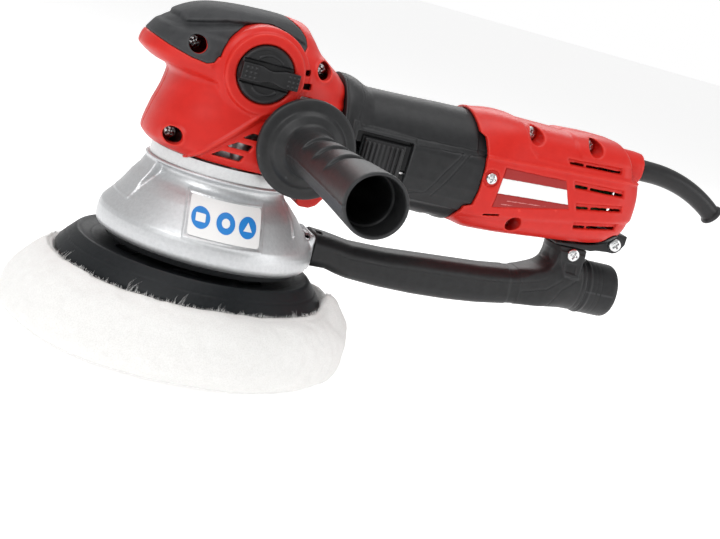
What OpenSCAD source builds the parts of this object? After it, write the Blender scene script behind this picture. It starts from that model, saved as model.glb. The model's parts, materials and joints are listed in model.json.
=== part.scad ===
// Dual action polisher: a mains powered, gear driven polisher with a wool bonnet.
// The head stands on a round pad, the motor lies along +X, and the side handle
// points along -Y. The origin is the middle of the bonnet's flat face.

/* [Pad and bonnet] */
// Outer radius of the backing pad's skirt
pad_r = 75; // [72:0.5:76]
// Outer radius of the wool bonnet
bonnet_r = 95.5; // [92:0.5:100]
// Distance from the main spindle to the orbiting pad's axis
orbit = 2.5; // [1:0.5:3.5]
// Number of dust holes in the pad
dust_holes = 7; // [5:1:9]

/* [Head] */
// Wall thickness of the plastic casings
wall = 3; // [2.5:0.25:3.5]
// Thickness of the soft grip on the head
grip_t = 1.6; // [1:0.2:2]
// Radius of the ring round the mode knob
knob_ring_r = 20.5; // [19:0.5:22]
// Radius of the mode knob
knob_r = 15; // [13:0.5:15]

/* [Motor] */
// Height of the motor's axis above the work
motor_z = 132.8; // [132:0.1:133.5]
// Radius of the motor housing where it meets the tail
motor_r = 32.3; // [32:0.1:32.6]
// Radius of the armature's core
armature_r = 18.7; // [17:0.1:19]
// Number of commutator bars
commutator_bars = 24; // [12:2:30]
// Number of fan blades
fan_blades = 16; // [8:1:20]

/* [Side handle] */
// Length of the handle beyond its flange
handle_l = 128.4; // [110:0.4:140]
// Radius of the handle's open end
handle_r = 15.5; // [15:0.25:17]
// Radius of the handle's flange
flange_r = 26.7; // [25:0.1:27]

/* [Dust extraction] */
// Radius of the hose port
port_r = 16; // [16:0.25:17]
// Radius of the port's bore
port_bore_r = 13.5; // [12.5:0.25:14]

/* [Cord sleeve] */
// Radius of the bend in the cord sleeve
sleeve_bend_r = 86; // [70:1:100]
// Radius of the sleeve's bore
cord_r = 3.7; // [3:0.1:4]

/* [Hidden] */
$fn = 64;
run_fit = 0.05;            // radial clearance of a running fit
part_gap = 0.1;            // gap between two casing halves
pad_top = 51.6;
pad_floor = 14.5;
skirt_z = 39;
skirt_top_r = pad_r - 8.8;
dust_r = 44;
hub_r = 24;
pad_bearing_r = 16;
pad_shaft_r = 6;
bell_top = 100.5;
neck_r = 40;
neck_top = 107;
gear_r = 25.5;
gear_teeth = 37;
pinion_teeth = 11;
gear_case_r = 31.5;
gear_cavity_r = 26.4;
spindle_r = 8;
spindle_top_r = 5;
rod_y = -29.4;
rod_r = 2;
motor_front = 51;
motor_end = 152;
motor_bore_r = 27.7;
motor_shaft_r = 6;
tail_shaft_r = 4;
core_x = 80;
core_l = 48;
commutator_x = 140;
commutator_r = 11;
tail_bearing_x = 160;
tail_bearing_r = 11;
link_turn = 22;            // the switch link lies this many degrees below the axis
knob_z = 158.7;
knob_cut_r = knob_ring_r + 3.5;
handle_x = 30;
handle_z = 127.4;
handle_y = -45.3;          // face of the boss that the flange is tightened on
port_z = 79;
port_x = 230;
sleeve_x = 256;
sleeve_z = 155.6;
sleeve_r = 6.2;
sleeve_bend = 34;          // degrees that the sleeve droops by at its end
dial_x = 230.5;
dial_z = 134;
dial_r = 12;
// Each casing screw: its X and Z, and how far from the middle its head sits.
head_screw_places = [[-36, 165.2, 18], [-36.5, 116.2, 16], [34, 167.3, 16]];
tail_screw_places = [[165.2, 161.8, 13], [203.4, 163.1, 12], [165.7, 110.7, 14]];
brush_cover_screw = [142, 133.7, 33];
clamp_screw_places = [[216.2, 98.4, 12.5], [240.4, 109.9, 13]];
screw_end = 22;            // how far past the middle the casing screws' bores reach
tongue_w = 18;             // width of the bracket's tongue between the tube's cheeks

// ---------- shared shapes ----------

// A closed solid through a list of rings, each with the same number of points.
// The rings run counter-clockwise when looked at from the last one.
module loft(rings) {
    n = len(rings[0]);
    m = len(rings);
    sides = [for (i = [0 : m - 2], j = [0 : n - 1])
        [i * n + j, (i + 1) * n + j, (i + 1) * n + (j + 1) % n, i * n + (j + 1) % n]];
    first = [for (j = [0 : n - 1]) j];
    last = [for (j = [n - 1 : -1 : 0]) (m - 1) * n + j];
    polyhedron([for (ring = rings) each ring], concat(sides, [first, last]), convexity = 6);
}

// One coordinate of a rounded outline that runs from a circle (2) to a box (6).
function bulge(c, half, power) = half * sign(c) * pow(abs(c), 2 / power);

// A rounded outline at height z, from x0 to x1 and half_w wide on each side.
function flat_ring(z, x0, x1, half_w, power, n = 36) = [for (i = [0 : n - 1])
    let (a = 360 * i / n)
    [(x0 + x1) / 2 + bulge(cos(a), (x1 - x0) / 2, power), bulge(sin(a), half_w, power), z]];

// The same outline standing across X, from z0 to z1.
function cross_ring(x, z0, z1, half_w, power, n = 32) = [for (i = [0 : n - 1])
    let (a = 360 * i / n)
    [x, bulge(cos(a), half_w, power), (z0 + z1) / 2 + bulge(sin(a), (z1 - z0) / 2, power)]];

module on_motor(x) { translate([x, 0, motor_z]) rotate([0, 90, 0]) children(); }

// Local +Z points to -Y, the side that the handle is on.
module on_side(x, z, y) { translate([x, y, z]) rotate([90, 0, 0]) children(); }

// A prism across Y from an outline in X and Z.
module side_prism(outline, y0, y1) {
    translate([0, y1, 0]) rotate([90, 0, 0]) linear_extrude(y1 - y0) polygon(outline);
}

module ring(outer, inner, h) {
    difference() {
        cylinder(r = outer, h = h);
        translate([0, 0, -1]) cylinder(r = inner, h = h + 2);
    }
}

module half_space(side) {
    translate([-150, side < 0 ? -120 - part_gap / 2 : part_gap / 2, 40]) cube([450, 120, 180]);
}

// A sealed ball bearing with a shallow groove round its shield.
module bearing(outer, inner, h) {
    groove = (outer - inner) / 2;
    difference() {
        ring(outer, inner, h);
        for (z = [-1, h - 0.5])
            translate([0, 0, z]) ring(inner + groove * 1.5, inner + groove * 0.6, 1.5);
    }
}

// A pan head screw along -Z with a cross recess. Its head's seat is at z = 0.
module screw(head_r, shank_r, length) {
    difference() {
        union() {
            cylinder(r = head_r, h = 2.4);
            translate([0, 0, -length]) cylinder(r = shank_r, h = length);
        }
        for (turn = [0, 90])
            rotate([0, 0, turn]) translate([-head_r * 0.55, -0.4, 1.2])
                cube([head_r * 1.1, 0.8, 3]);
    }
}

// ---------- pad, bonnet and spindle ----------

module dust_slots(z0, z1) {
    for (i = [0 : dust_holes - 1])
        rotate([0, 0, i * 360 / dust_holes + 100]) translate([dust_r, 0, z0]) {
            for (y = [-3, 3]) translate([0, y, 0]) cylinder(r = 4, h = z1 - z0);
            translate([-4, -3, 0]) cube([8, 6, z1 - z0]);
        }
}

module wool_bonnet() {
    color("ivory") translate([-orbit, 0, 0]) rotate_extrude($fn = 96) polygon([
        [0, 0], [bonnet_r - 11.5, 0], [bonnet_r - 4.5, 3], [bonnet_r - 0.8, 10],
        [bonnet_r, 19], [bonnet_r - 1.5, 29], [bonnet_r - 5.5, 37], [bonnet_r - 11.5, 41.4],
        [pad_r + 3, 42], [pad_r + 0.5, 40.5], [pad_r + 0.5, 37], [pad_r - 1.5, 35],
        [pad_r - 1.5, pad_floor], [0, pad_floor]]);
}

module hook_layer() {
    color("dimgray") translate([-orbit, 0, pad_floor]) difference() {
        cylinder(r = pad_r - 2, h = 1.5);
        dust_slots(-1, 3);
    }
}

module pad_foam() {
    color("darkslategray") translate([-orbit, 0, pad_floor + 1.5]) difference() {
        ring(pad_r - 2.2, 12, 20);
        dust_slots(-1, 21);
    }
}

module backing_plate() {
    color("black") translate([-orbit, 0, 0]) difference() {
        rotate_extrude($fn = 96) polygon([
            [4.2, 39], [12, 39], [12, 36], [pad_r - 5, 36], [pad_r, skirt_z - 1],
            [pad_r, skirt_z + 1], [skirt_top_r + 0.6, pad_top - 0.4], [skirt_top_r, pad_top],
            [skirt_top_r - 2, pad_top], [skirt_top_r - 5, pad_top - 1.2], [21, pad_top - 1.2],
            [21, pad_top], [4.2, pad_top]]);
        dust_slots(30, 60);
    }
}

module pad_bolt() {
    color("silver") translate([-orbit, 0, 39]) difference() {
        union() {
            translate([0, 0, -5]) cylinder(r = 8, h = 5);
            cylinder(r = 4, h = 24);
        }
        translate([0, 0, -6]) cylinder(r = 3.5, h = 4, $fn = 6);
    }
}

module pad_spindle() {
    color("gray") translate([-orbit, 0, pad_top]) difference() {
        union() {
            cylinder(r = 20, h = 4);
            cylinder(r = 10, h = 12.4);
            cylinder(r = pad_shaft_r, h = 34);
        }
        translate([0, 0, -1]) cylinder(r = 4, h = 15);
    }
}

module pad_bearing() {
    color("silver") translate([-orbit, 0, 66]) bearing(pad_bearing_r, pad_shaft_r + run_fit, 16);
}

module eccentric_hub() {
    color("lightslategray") difference() {
        translate([0, 0, 62]) cylinder(r = hub_r, h = 31);
        translate([-orbit, 0, 61]) cylinder(r = 13, h = 6);
        translate([-orbit, 0, 66]) cylinder(r = pad_bearing_r, h = 16);
        translate([-orbit, 0, 81]) cylinder(r = 8, h = 6);
        translate([0, 0, 88]) cylinder(r = spindle_r, h = 6);
    }
}

module counterweight() {
    color("darkgray") translate([0, 0, 68]) rotate([0, 0, -80]) rotate_extrude(angle = 160)
        polygon([[hub_r, 0], [38, 0], [38, 10], [34, 13], [hub_r, 13]]);
}

module spindle_shaft() {
    color("silver") {
        translate([0, 0, 88]) cylinder(r = spindle_r, h = 37);
        translate([0, 0, 125]) cylinder(r = spindle_top_r, h = 26);
        translate([0, 0, 96.5]) ring(11, spindle_r, 4);
    }
}

// The crown gear's teeth rise along a cone whose tip is on the motor's axis.
module crown_gear() {
    color("slategray") difference() {
        union() {
            translate([0, 0, 112]) ring(gear_r, spindle_r, 9);
            for (i = [0 : gear_teeth - 1])
                rotate([0, 0, i * 360 / gear_teeth]) translate([14, -0.7, 120.5])
                    cube([gear_r - 14.5, 1.4, 2.8]);
        }
        translate([0, 0, 120]) cylinder(r = 12, h = 5);
    }
}

module lower_spindle_bearing() {
    color("silver") translate([0, 0, 101]) bearing(17, spindle_r + run_fit, 10);
}

module upper_spindle_bearing() {
    color("silver") translate([0, 0, 142.5]) bearing(13, spindle_top_r + run_fit, 8);
}

// ---------- gearbox and dust bell ----------

module gearbox_housing() {
    color("silver") difference() {
        union() {
            translate([0, 0, bell_top]) cylinder(r = neck_r, h = neck_top - bell_top);
            translate([0, 0, neck_top]) cylinder(r = gear_case_r, h = 40);
            translate([0, 0, 147]) cylinder(r = 17, h = 5.5);
            translate([0, rod_y, neck_top]) cylinder(r = 5, h = 40);
            intersection() {
                on_motor(20) cylinder(r = 24, h = 27);
                translate([0, -30, neck_top]) cube([50, 60, 60]);
            }
            on_motor(45) cylinder(r = 28, h = 6);
            for (side = [-1, 1])
                on_side(handle_x, handle_z, side < 0 ? -16 : 35) cylinder(r = 8, h = 19);
        }
        translate([0, 0, bell_top - 1]) cylinder(r = 17, h = 11.5);
        translate([0, 0, 111]) cylinder(r = gear_cavity_r, h = 30.5);
        translate([0, 0, 141]) cylinder(r = 10, h = 12);
        translate([0, 0, 142.5]) cylinder(r = 13, h = 11);
        translate([0, rod_y, bell_top - 1]) cylinder(r = rod_r + run_fit, h = 50);
        on_motor(0) cylinder(r = 12, h = 40);
        on_motor(36) cylinder(r = 15, h = 10);
        on_motor(45) cylinder(r = 9, h = 10);
        for (side = [-1, 1])
            on_side(handle_x, handle_z, side < 0 ? -20 : 36) cylinder(r = 4, h = 16);
        bell_screw_places() cylinder(r = 2.1, h = 8, center = true);
    }
}

module bell_screw_places() {
    for (turn = [45 : 90 : 315]) rotate([0, 0, turn]) translate([28.2, 0, bell_top]) children();
}

module bell_screws() {
    color("silver") bell_screw_places()
        translate([0, 0, -3]) rotate([180, 0, 0]) screw(3.6, 2, 6.5);
}

// The shroud's outside, from the rim up to the neck. A smaller one is its inside.
function bell_outline(inset) = [[56 - inset, 56], [57.6 - inset, 56.6], [59.4 - inset, 60],
    [60 - inset, 64], [59.6 - inset, 68], [58 - inset, 71], [53.4 - inset, 76.6],
    [47.6 - inset, 83.4], [42.6 - inset, 88], [38.6 - inset, 91.6], [36.8 - inset, 94.6],
    [36.5 - inset, 97.5]];

module bell_shroud() {
    color("silver") difference() {
        union() {
            rotate_extrude($fn = 96)
                polygon(concat([[20, 97.5], [20, bell_top], [42, bell_top], [42, 98.5], [40, 97.5]],
                    [for (i = [11 : -1 : 0]) bell_outline(0)[i]],
                    [for (i = [0 : 11]) bell_outline(wall)[i]]));
            difference() {
                translate([46, -15, 57]) cube([13.5, 30, 20]);
                rotate_extrude($fn = 96)
                    polygon(concat([[0, 50]], bell_outline(wall), [[0, 97.5]]));
            }
            rotate([0, 0, 158]) rotate_extrude(angle = 44, $fn = 96)
                polygon(concat([[53.2, 76.6], [52.7, 77.4], [47.4, 87.2], [43.6, 92.7], [41.2, 98.3]],
                    [for (i = [11 : -1 : 6]) bell_outline(1.5)[i]]));
        }
        translate([40, -11.5, 60]) cube([30, 23, 14]);
        translate([0, rod_y, 90]) cylinder(r = rod_r + 0.5, h = 20);
        bell_screw_places() cylinder(r = 2.3, h = 8, center = true);
    }
}

module shroud_seal() {
    color("dimgray") translate([0, 0, 52.6]) difference() {
        ring(53, 50.5, 7);
        translate([40, -11.6, 6]) cube([20, 23.2, 5]);
    }
}

module bell_sticker() {
    color("white") rotate([0, 0, -116]) rotate_extrude(angle = 44) difference() {
        polygon(concat([for (i = [5 : 9]) bell_outline(-0.35)[i]],
            [for (i = [9 : -1 : 5]) bell_outline(0)[i]]));
        translate([0, 60]) square([70, 12]);
        translate([0, 89.6]) square([70, 12]);
    }
}

// ---------- head casing ----------

// Height, front, back, half width and roundness of the head from its foot to its crown.
head_stations = [
    [106, -38, 44, 40, 2.1], [109, -44.5, 50, 43, 2.2], [113, -48, 51, 44.5, 2.3],
    [125, -46, 51, 44, 2.4], [138, -42.5, 53, 42, 2.5], [146, -41.5, 56, 40.5, 2.6],
    [150, -46, 57, 40, 2.6], [153.5, -56, 56.5, 39.5, 2.5], [157, -60, 55.8, 39, 2.5],
    [161, -59.3, 53.5, 38.3, 2.5], [166, -56.3, 49.5, 37, 2.5], [171, -52.3, 42.5, 35, 2.5],
    [176, -48, 35.5, 32.5, 2.4], [181, -41, 31.5, 29, 2.3], [185, -31.5, 27, 24, 2.2],
    [187.5, -17, 22.5, 17, 2.1], [188.5, -2, 16, 9, 2]];
head_foot = head_stations[0][0];
head_height = head_stations[len(head_stations) - 1][0] - head_foot;

module head_form(inset) {
    loft([for (s = head_stations)
        flat_ring(s[0] - inset * (s[0] - head_foot) / head_height,
            s[1] + inset, s[2] - inset, s[3] - inset, s[4])]);
}

// Everything above the soft grip's lower edge, less the ring round the knob.
module grip_zone() {
    difference() {
        side_prism([[-70, 168], [-60, 164.6], [-49, 161], [-38, 158], [0, 157],
            [17, 173], [20, 175], [21, 179], [18.5, 183.5], [14, 187], [13, 195], [-70, 195]],
            -60, 60);
        on_side(0, knob_z, -25.9) cylinder(r = knob_cut_r, h = 44);
    }
}

module head_soft_grip() {
    color("black") difference() {
        intersection() {
            head_form(0);
            grip_zone();
        }
        head_form(grip_t);
        on_side(head_screw_places[0][0], head_screw_places[0][1], -20) cylinder(r = 4.6, h = 30);
    }
}

// The gear case's lower lobe behind the neck.
module head_lug() {
    side_prism([[42.6, 110], [42.6, 92.2], [45, 90.6], [50.5, 90.8], [54.6, 93], [57.6, 97.6],
        [57.6, 110]], -13, 13);
}

module head_vents() {
    for (i = [0 : 2])
        side_prism([[-17 + 7 * i, 112.4 + 6.2 * i], [-2 + 3.4 * i, 112.2 + 6.2 * i],
            [-1 + 3.4 * i, 115.2 + 6.2 * i], [-14 + 7 * i, 115.6 + 6.2 * i]], -70, 70);
    for (i = [0 : 2])
        translate([20.9 + 0.6 * i, -70, 163.4 - 7 * i]) cube([4.4 + i, 140, 3.2]);
}

// The bosses for the handle on both sides, and the knob's ring on one.
module head_bosses(side) {
    boss_side = side < 0 ? -22 : -handle_y;
    difference() {
        on_side(handle_x, handle_z, boss_side) cylinder(r = 16, h = -handle_y - 22);
        on_side(handle_x, handle_z, 35.1) cylinder(r = 12.5, h = 70.2);
    }
    if (side < 0) difference() {
        on_side(0, knob_z, -26) cylinder(r = knob_ring_r, h = 17.5);
        on_side(0, knob_z, -20) cylinder(r = knob_ring_r - 3.5, h = 14);
    }
}

module head_casing(side) {
    difference() {
        intersection() {
            union() {
                difference() {
                    union() {
                        head_form(0);
                        head_lug();
                    }
                    difference() {
                        grip_zone();
                        head_form(grip_t + 0.02);
                    }
                    head_form(wall + grip_t);
                    head_vents();
                }
                intersection() {
                    head_form(grip_t + 0.5);
                    for (p = head_screw_places) on_side(p[0], p[1], 40) cylinder(r = 5.5, h = 80);
                }
                head_bosses(side);
            }
            half_space(side);
        }
        translate([0, 0, 99]) cylinder(r = neck_r + 0.1, h = neck_top - 98.9);
        on_motor(motor_front) cylinder(r = 34.8, h = 30);
        on_motor(44.9) cylinder(r = 28.1, h = 7);
        on_motor(20) cylinder(r = 24.1, h = 30);
        translate([20, -30, neck_top]) cube([25, 60, 5]);
        translate([0, 0, neck_top - 1]) cylinder(r = gear_case_r + 0.1, h = 41.1);
        translate([0, rod_y, neck_top - 1]) cylinder(r = 5.1, h = 41.1);
        for (p = head_screw_places) {
            on_side(p[0], p[1], screw_end) cylinder(r = 2.1, h = 80);
            on_side(p[0], p[1], -p[2]) cylinder(r = 4.1, h = 30);
        }
        on_side(handle_x, handle_z, 60) cylinder(r = 4.3, h = 120);
        on_side(handle_x, handle_z, 35.1) cylinder(r = 8.1, h = 70.2);
        if (side < 0) {
            on_side(0, knob_z, -39.8) cylinder(r = knob_r + 0.4, h = 8);
            on_side(0, knob_z, -20) cylinder(r = 5 + run_fit, h = 30);
        }
    }
}

module head_casing_left() { color("firebrick") head_casing(-1); }

module head_casing_right() { color("firebrick") head_casing(1); }

module head_screws() {
    color("silver") for (p = head_screw_places) on_side(p[0], p[1], -p[2]) screw(3.9, 2, 35);
}

module mode_knob() {
    color("black") difference() {
        union() {
            on_side(0, knob_z, -40.1) cylinder(r = knob_r, h = 4.1);
            translate([-14, -48, knob_z - 4.4]) cube([31.4, 4.1, 8.8]);
        }
        on_side(0, knob_z, -39) cylinder(r = 3, h = 4);
        for (x = [-9.5, 13]) on_side(x, knob_z, -46.8) cylinder(r = 2.8, h = 4);
    }
}

// The mode shaft turns with the knob, and the cam on it presses the lock rod down.
module mode_shaft() {
    color("gray") {
        on_side(0, knob_z, -30) cylinder(r = 5, h = 10.1);
        on_side(0, knob_z, -40.1) cylinder(r = 3, h = 2.9);
        on_side(0, knob_z + 1.4, -26) cylinder(r = 6.2, h = 4);
    }
}

module mode_lock_rod() {
    color("silver") {
        translate([0, rod_y, 93.5]) cylinder(r = rod_r, h = 56);
        translate([0, rod_y, 149.5]) cylinder(r = 3.5, h = 2.5);
    }
}

// ---------- motor ----------

module motor_housing() {
    color("black") difference() {
        union() {
            on_motor(motor_front) cylinder(r = 34.5, h = 5);
            on_motor(motor_front + 5) cylinder(r1 = 34.5, r2 = 29.8, h = 12);
            on_motor(motor_front + 17) cylinder(r1 = 29.8, r2 = motor_r, h = 63);
            on_motor(131) cylinder(r = 31.6, h = motor_end - 131);
            translate([57, -32.8, motor_z - 17]) cube([40, 14, 29]);
        }
        on_motor(motor_front + 4) cylinder(r = motor_bore_r, h = 120);
        on_motor(motor_front - 1) cylinder(r = 26, h = 8);
        translate([60, -36, motor_z - 14.3]) cube([32, 6.6, 23.6]);
        link_place() {
            translate([58, -30.5, -4.2]) cube([110, 2, 8.4]);
            translate([78, -36, -4.2]) cube([11, 7, 8.4]);
        }
        on_side(brush_cover_screw[0], brush_cover_screw[1], -28) cylinder(r = 1.9, h = 8);
    }
}

// The switch link's own frame: X along the motor, turned down round its axis.
module link_place() { translate([0, 0, motor_z]) rotate([link_turn, 0, 0]) children(); }

module slide_button() {
    color("black") {
        translate([65, -32.6, motor_z - 13.6]) cube([24, 2.8, 21.8]);
        for (i = [0 : 6])
            translate([66.4 + 3.2 * i, -34.2, motor_z - 11.6]) cube([1.4, 1.8, 18]);
        link_place() translate([84, -33, -3.6]) cube([4, 3.9, 7.2]);
    }
}

module slide_link() {
    color("darkgray") link_place() translate([88, -30.2, -3.6]) cube([88, 1.2, 7.2]);
}

module switch_body() {
    color("gray") difference() {
        link_place() translate([171, -31, -8]) cube([30, 15, 16]);
        link_place() translate([165, -31.5, -4.2]) cube([17, 2.6, 8.4]);
        intersection() {
            link_place() translate([160, -40, -20]) cube([50, 40, 40]);
            difference() {
                translate([160, -50, 90]) cube([50, 50, 80]);
                tail_form(wall + 0.3);
            }
        }
    }
}

// The slots that the coils lie in. They reach past both ends of the core.
module stator_slots(extra, reach) {
    for (turn = [42, 138, 222, 318])
        rotate([0, 0, turn]) translate([19.6 - extra, -3.6 - extra, -reach])
            cube([5.6 + 2 * extra, 7.2 + 2 * extra, core_l + 2 * reach]);
}

module stator_core() {
    color("dimgray") on_motor(core_x) difference() {
        ring(27.5, 19.2, core_l);
        stator_slots(0.2, 1);
    }
}

module field_coils() {
    color("peru") on_motor(core_x) {
        stator_slots(0, 6.9);
        for (z = [-7, core_l + 0.1], turn = [42, 222])
            translate([0, 0, z]) rotate([0, 0, turn - 10]) rotate_extrude(angle = 116)
                polygon([[19.8, 0], [25.2, 0], [25.2, 6.9], [19.8, 6.9]]);
    }
}

module armature_core() {
    color("slategray") on_motor(core_x) difference() {
        ring(armature_r, motor_shaft_r, core_l);
        for (i = [0 : 11]) rotate([0, 0, i * 30]) {
            translate([11.5, -2, -1]) cube([5.6, 4, core_l + 2]);
            translate([16, -0.8, -1]) cube([5, 1.6, core_l + 2]);
        }
    }
}

module armature_windings() {
    color("chocolate") on_motor(core_x) for (z = [-7, core_l]) translate([0, 0, z])
        rotate_extrude() polygon([[motor_shaft_r, 0], [13, 0], [16.6, 2], [17.4, 3.5], [16.6, 5],
            [14, 7], [motor_shaft_r, 7]]);
}

module armature_shaft() {
    color("silver") {
        on_motor(12.5) cylinder(r = 3.5, h = 17);
        on_motor(28) cylinder(r = motor_shaft_r, h = 128);
        on_motor(156) cylinder(r = tail_shaft_r, h = 14);
    }
}

module commutator() {
    color("peru") on_motor(commutator_x) difference() {
        ring(commutator_r, motor_shaft_r, 13);
        for (i = [0 : commutator_bars - 1]) rotate([0, 0, i * 360 / commutator_bars])
            translate([commutator_r - 0.8, -0.25, -1]) cube([2, 0.5, 12]);
    }
}

module cooling_fan() {
    color("black") on_motor(59.5) {
        ring(10, motor_shaft_r, 9);
        ring(26.4, 9.8, 1.6);
        for (i = [0 : fan_blades - 1]) rotate([0, 0, i * 360 / fan_blades])
            translate([11, -0.7, 1.5]) rotate([0, 0, 12]) cube([14, 1.4, 7]);
    }
}

module bevel_pinion() {
    color("silver") on_motor(14) difference() {
        union() {
            cylinder(r1 = 3.9, r2 = 6.6, h = 13);
            for (i = [0 : pinion_teeth - 1]) rotate([0, 0, i * 360 / pinion_teeth])
                translate([0, 0, 0.5]) rotate([0, 11.5, 0]) translate([2.6, -0.7, 0]) cube([2.2, 1.4, 12]);
        }
        translate([0, 0, -1]) cylinder(r = 3.5, h = 16);
    }
}

module front_motor_bearing() {
    color("silver") on_motor(36) bearing(15, motor_shaft_r + run_fit, 9);
}

module rear_motor_bearing() {
    color("silver") on_motor(tail_bearing_x) bearing(tail_bearing_r, tail_shaft_r + run_fit, 8);
}

// Both brush holders stand beside the commutator, one on each side.
module on_brushes() {
    for (side = [-1, 1]) translate([146, 0, motor_z]) rotate([side * 90, 0, 0]) children();
}

module brush_holders() {
    color("goldenrod") on_brushes() difference() {
        translate([-4.6, -5.8, 12]) cube([9.2, 11.6, 13]);
        translate([-3.1, -4.3, 11]) cube([6.2, 8.6, 13]);
    }
}

module carbon_brushes() {
    color("dimgray") on_brushes() translate([-3, -4.2, 11.4]) cube([6, 8.4, 7]);
}

spring_turns = 4;
spring_steps = 9;          // steps in each turn of the spring
spring_sides = 5;
function spring_ring(k) = let (a = 360 * k / spring_steps, lift = 5 * k / (spring_turns * spring_steps))
    [for (j = [0 : spring_sides - 1]) let (b = 360 * j / spring_sides)
        [(2.2 + 0.4 * cos(b)) * cos(a), (2.2 + 0.4 * cos(b)) * sin(a), lift - 0.4 * sin(b)]];

module brush_springs() {
    color("silver") on_brushes() translate([0, 0, 18.9])
        loft([for (k = [0 : spring_turns * spring_steps - 1]) spring_ring(k)]);
}

// ---------- tail casing ----------

// Place, underside, top, half width and roundness of the tail from front to back.
tail_stations = [
    [116, 99.5, 166.5, 34, 2], [132, 99, 167.6, 34.2, 2.2], [142, 98.8, 169, 34.2, 2.8],
    [150, 99.2, 169.3, 34, 3.2], [162, 100, 168.2, 33, 3.5], [186, 102.2, 168, 32, 3.6],
    [211, 104.6, 169.2, 31, 3.6], [224, 106.2, 169, 30.2, 3.4], [229, 107.4, 167.4, 29.2, 3.3],
    [233, 108.8, 163, 27.8, 3.2], [236.6, 110.6, 158, 26, 3], [239.6, 113, 151.5, 23.4, 2.8],
    [241.6, 116, 144.5, 19.5, 2.6], [242.6, 119, 138, 14.5, 2.4]];
tail_front = tail_stations[0][0];
tail_length = tail_stations[len(tail_stations) - 1][0] - tail_front;

module tail_form(inset) {
    loft([for (s = tail_stations)
        cross_ring(s[0] - inset * (s[0] - tail_front) / tail_length, s[1] + inset, s[2] - inset,
            s[3] - inset, s[4])]);
}

// Four cooling slots: front end, its underside, length, height and rise along the slot.
vent_places = [[187, 151.2, 34.5, 3.4, 1.6], [193.6, 139.2, 33, 3.9, 1.1],
    [198.6, 127.4, 30, 3.4, 4.2], [202.2, 116, 28, 3.6, 4.2]];

module tail_vents() {
    for (v = vent_places)
        side_prism([[v[0], v[1] + v[3]], [v[0] + 1, v[1]], [v[0] + v[2], v[1] + v[4]],
            [v[0] + v[2], v[1] + v[3] + v[4]]], -60, 60);
}

module tail_casing(side) {
    difference() {
        intersection() {
            union() {
                difference() {
                    union() {
                        tail_form(0);
                        translate([0, 0, sleeve_z - motor_z]) on_motor(226) cylinder(r = 10, h = 20);
                    }
                    tail_form(wall);
                }
                intersection() {
                    tail_form(0.8);
                    union() {
                        translate([161, -50, 90]) cube([6, 100, 90]);
                        for (p = tail_screw_places) on_side(p[0], p[1], 40) cylinder(r = 5, h = 80);
                    }
                }
                translate([0, 0, sleeve_z - motor_z]) on_motor(233) cylinder(r = 9.8, h = 13);
            }
            half_space(side);
            side_prism([[128.7, 175], [128.9, 166], [129.9, 162], [131.2, 156.6], [134.6, 154.7],
                [136.3, 147.5], [137.1, 138], [137.3, 126], [136.5, 116.6], [132.6, 114.7],
                [130.4, 103.4], [129.6, 90], [270, 90], [270, 175]], -60, 60);
        }
        on_motor(110) cylinder(r = motor_r + 0.1, h = 21.2);
        on_motor(110) cylinder(r = 31.7, h = motor_end - 109.9);
        on_motor(150) cylinder(r = tail_bearing_r, h = 18);
        tail_vents();
        for (z = [motor_z - 26, motor_z + 17]) translate([155, -12, z]) cube([15, 24, 9]);
        for (z = [motor_z - 16, motor_z + 4]) for (y = [-28, 16])
            translate([155, y, z]) cube([15, 12, 12]);
        for (p = tail_screw_places) {
            on_side(p[0], p[1], screw_end) cylinder(r = 2.1, h = 80);
            on_side(p[0], p[1], -p[2]) cylinder(r = 4.1, h = 30);
        }
        side_prism(bracket_corner(0), -30, 30);
        on_side(brush_cover_screw[0], brush_cover_screw[1], -26) cylinder(r = 2.2, h = 12);
        on_side(brush_cover_screw[0], brush_cover_screw[1], -brush_cover_screw[2])
            cylinder(r = 4.4, h = 12);
        link_place() translate([150, -31.2, -4.4]) cube([26, 3.2, 8.8]);
        translate([0, 0, sleeve_z - motor_z]) {
            on_motor(230) cylinder(r = sleeve_r + 0.05, h = 30);
            on_motor(238) cylinder(r = 8, h = 3);
        }
        if (side > 0) {
            translate([dial_x - 1, 8.2, dial_z - 14]) cube([20, 9.6, 28]);
            translate([238.5, 5, dial_z - 15]) cube([10, 16, 30]);
        }
    }
}

module tail_casing_left() { color("firebrick") tail_casing(-1); }

module tail_casing_right() { color("firebrick") tail_casing(1); }

module tail_screws() {
    color("silver") {
        for (p = tail_screw_places) on_side(p[0], p[1], -p[2]) screw(3.9, 2, 33);
        on_side(brush_cover_screw[0], brush_cover_screw[1], -brush_cover_screw[2])
            screw(4.2, 1.9, 4.5);
    }
}

module label_plate() {
    color("whitesmoke") difference() {
        intersection() {
            side_prism([[148.9, 141.5], [187.8, 142.2], [194.6, 126.9], [147.5, 118.1]], -36, -28);
            tail_form(-0.5);
        }
        tail_form(0);
    }
}

module cord_sleeve() {
    color("black") {
        translate([0, 0, sleeve_z - motor_z]) {
            on_motor(232) ring(sleeve_r, cord_r, sleeve_x - 232);
            on_motor(238) ring(8, sleeve_r, 3);
        }
        translate([sleeve_x, 0, sleeve_z - sleeve_bend_r]) rotate([90, 0, 0])
            rotate([0, 0, 90 - sleeve_bend]) {
                rotate_extrude(angle = sleeve_bend) translate([sleeve_bend_r, 0]) difference() {
                    circle(r = sleeve_r - 0.1);
                    circle(r = cord_r + 0.1);
                }
                translate([sleeve_bend_r, 0, 0]) rotate([90, 0, 0]) difference() {
                    cylinder(r1 = sleeve_r, r2 = 7, h = 3);
                    translate([0, 0, -1]) cylinder(r = cord_r, h = 5);
                }
            }
    }
}

module cord_clamp() {
    color("dimgray") {
        translate([219, -8, 153.8]) cube([8, 16, 2.4]);
        for (y = [-6, 6]) translate([223, y, 148]) cylinder(r = 1.6, h = 9.2);
    }
}

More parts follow.
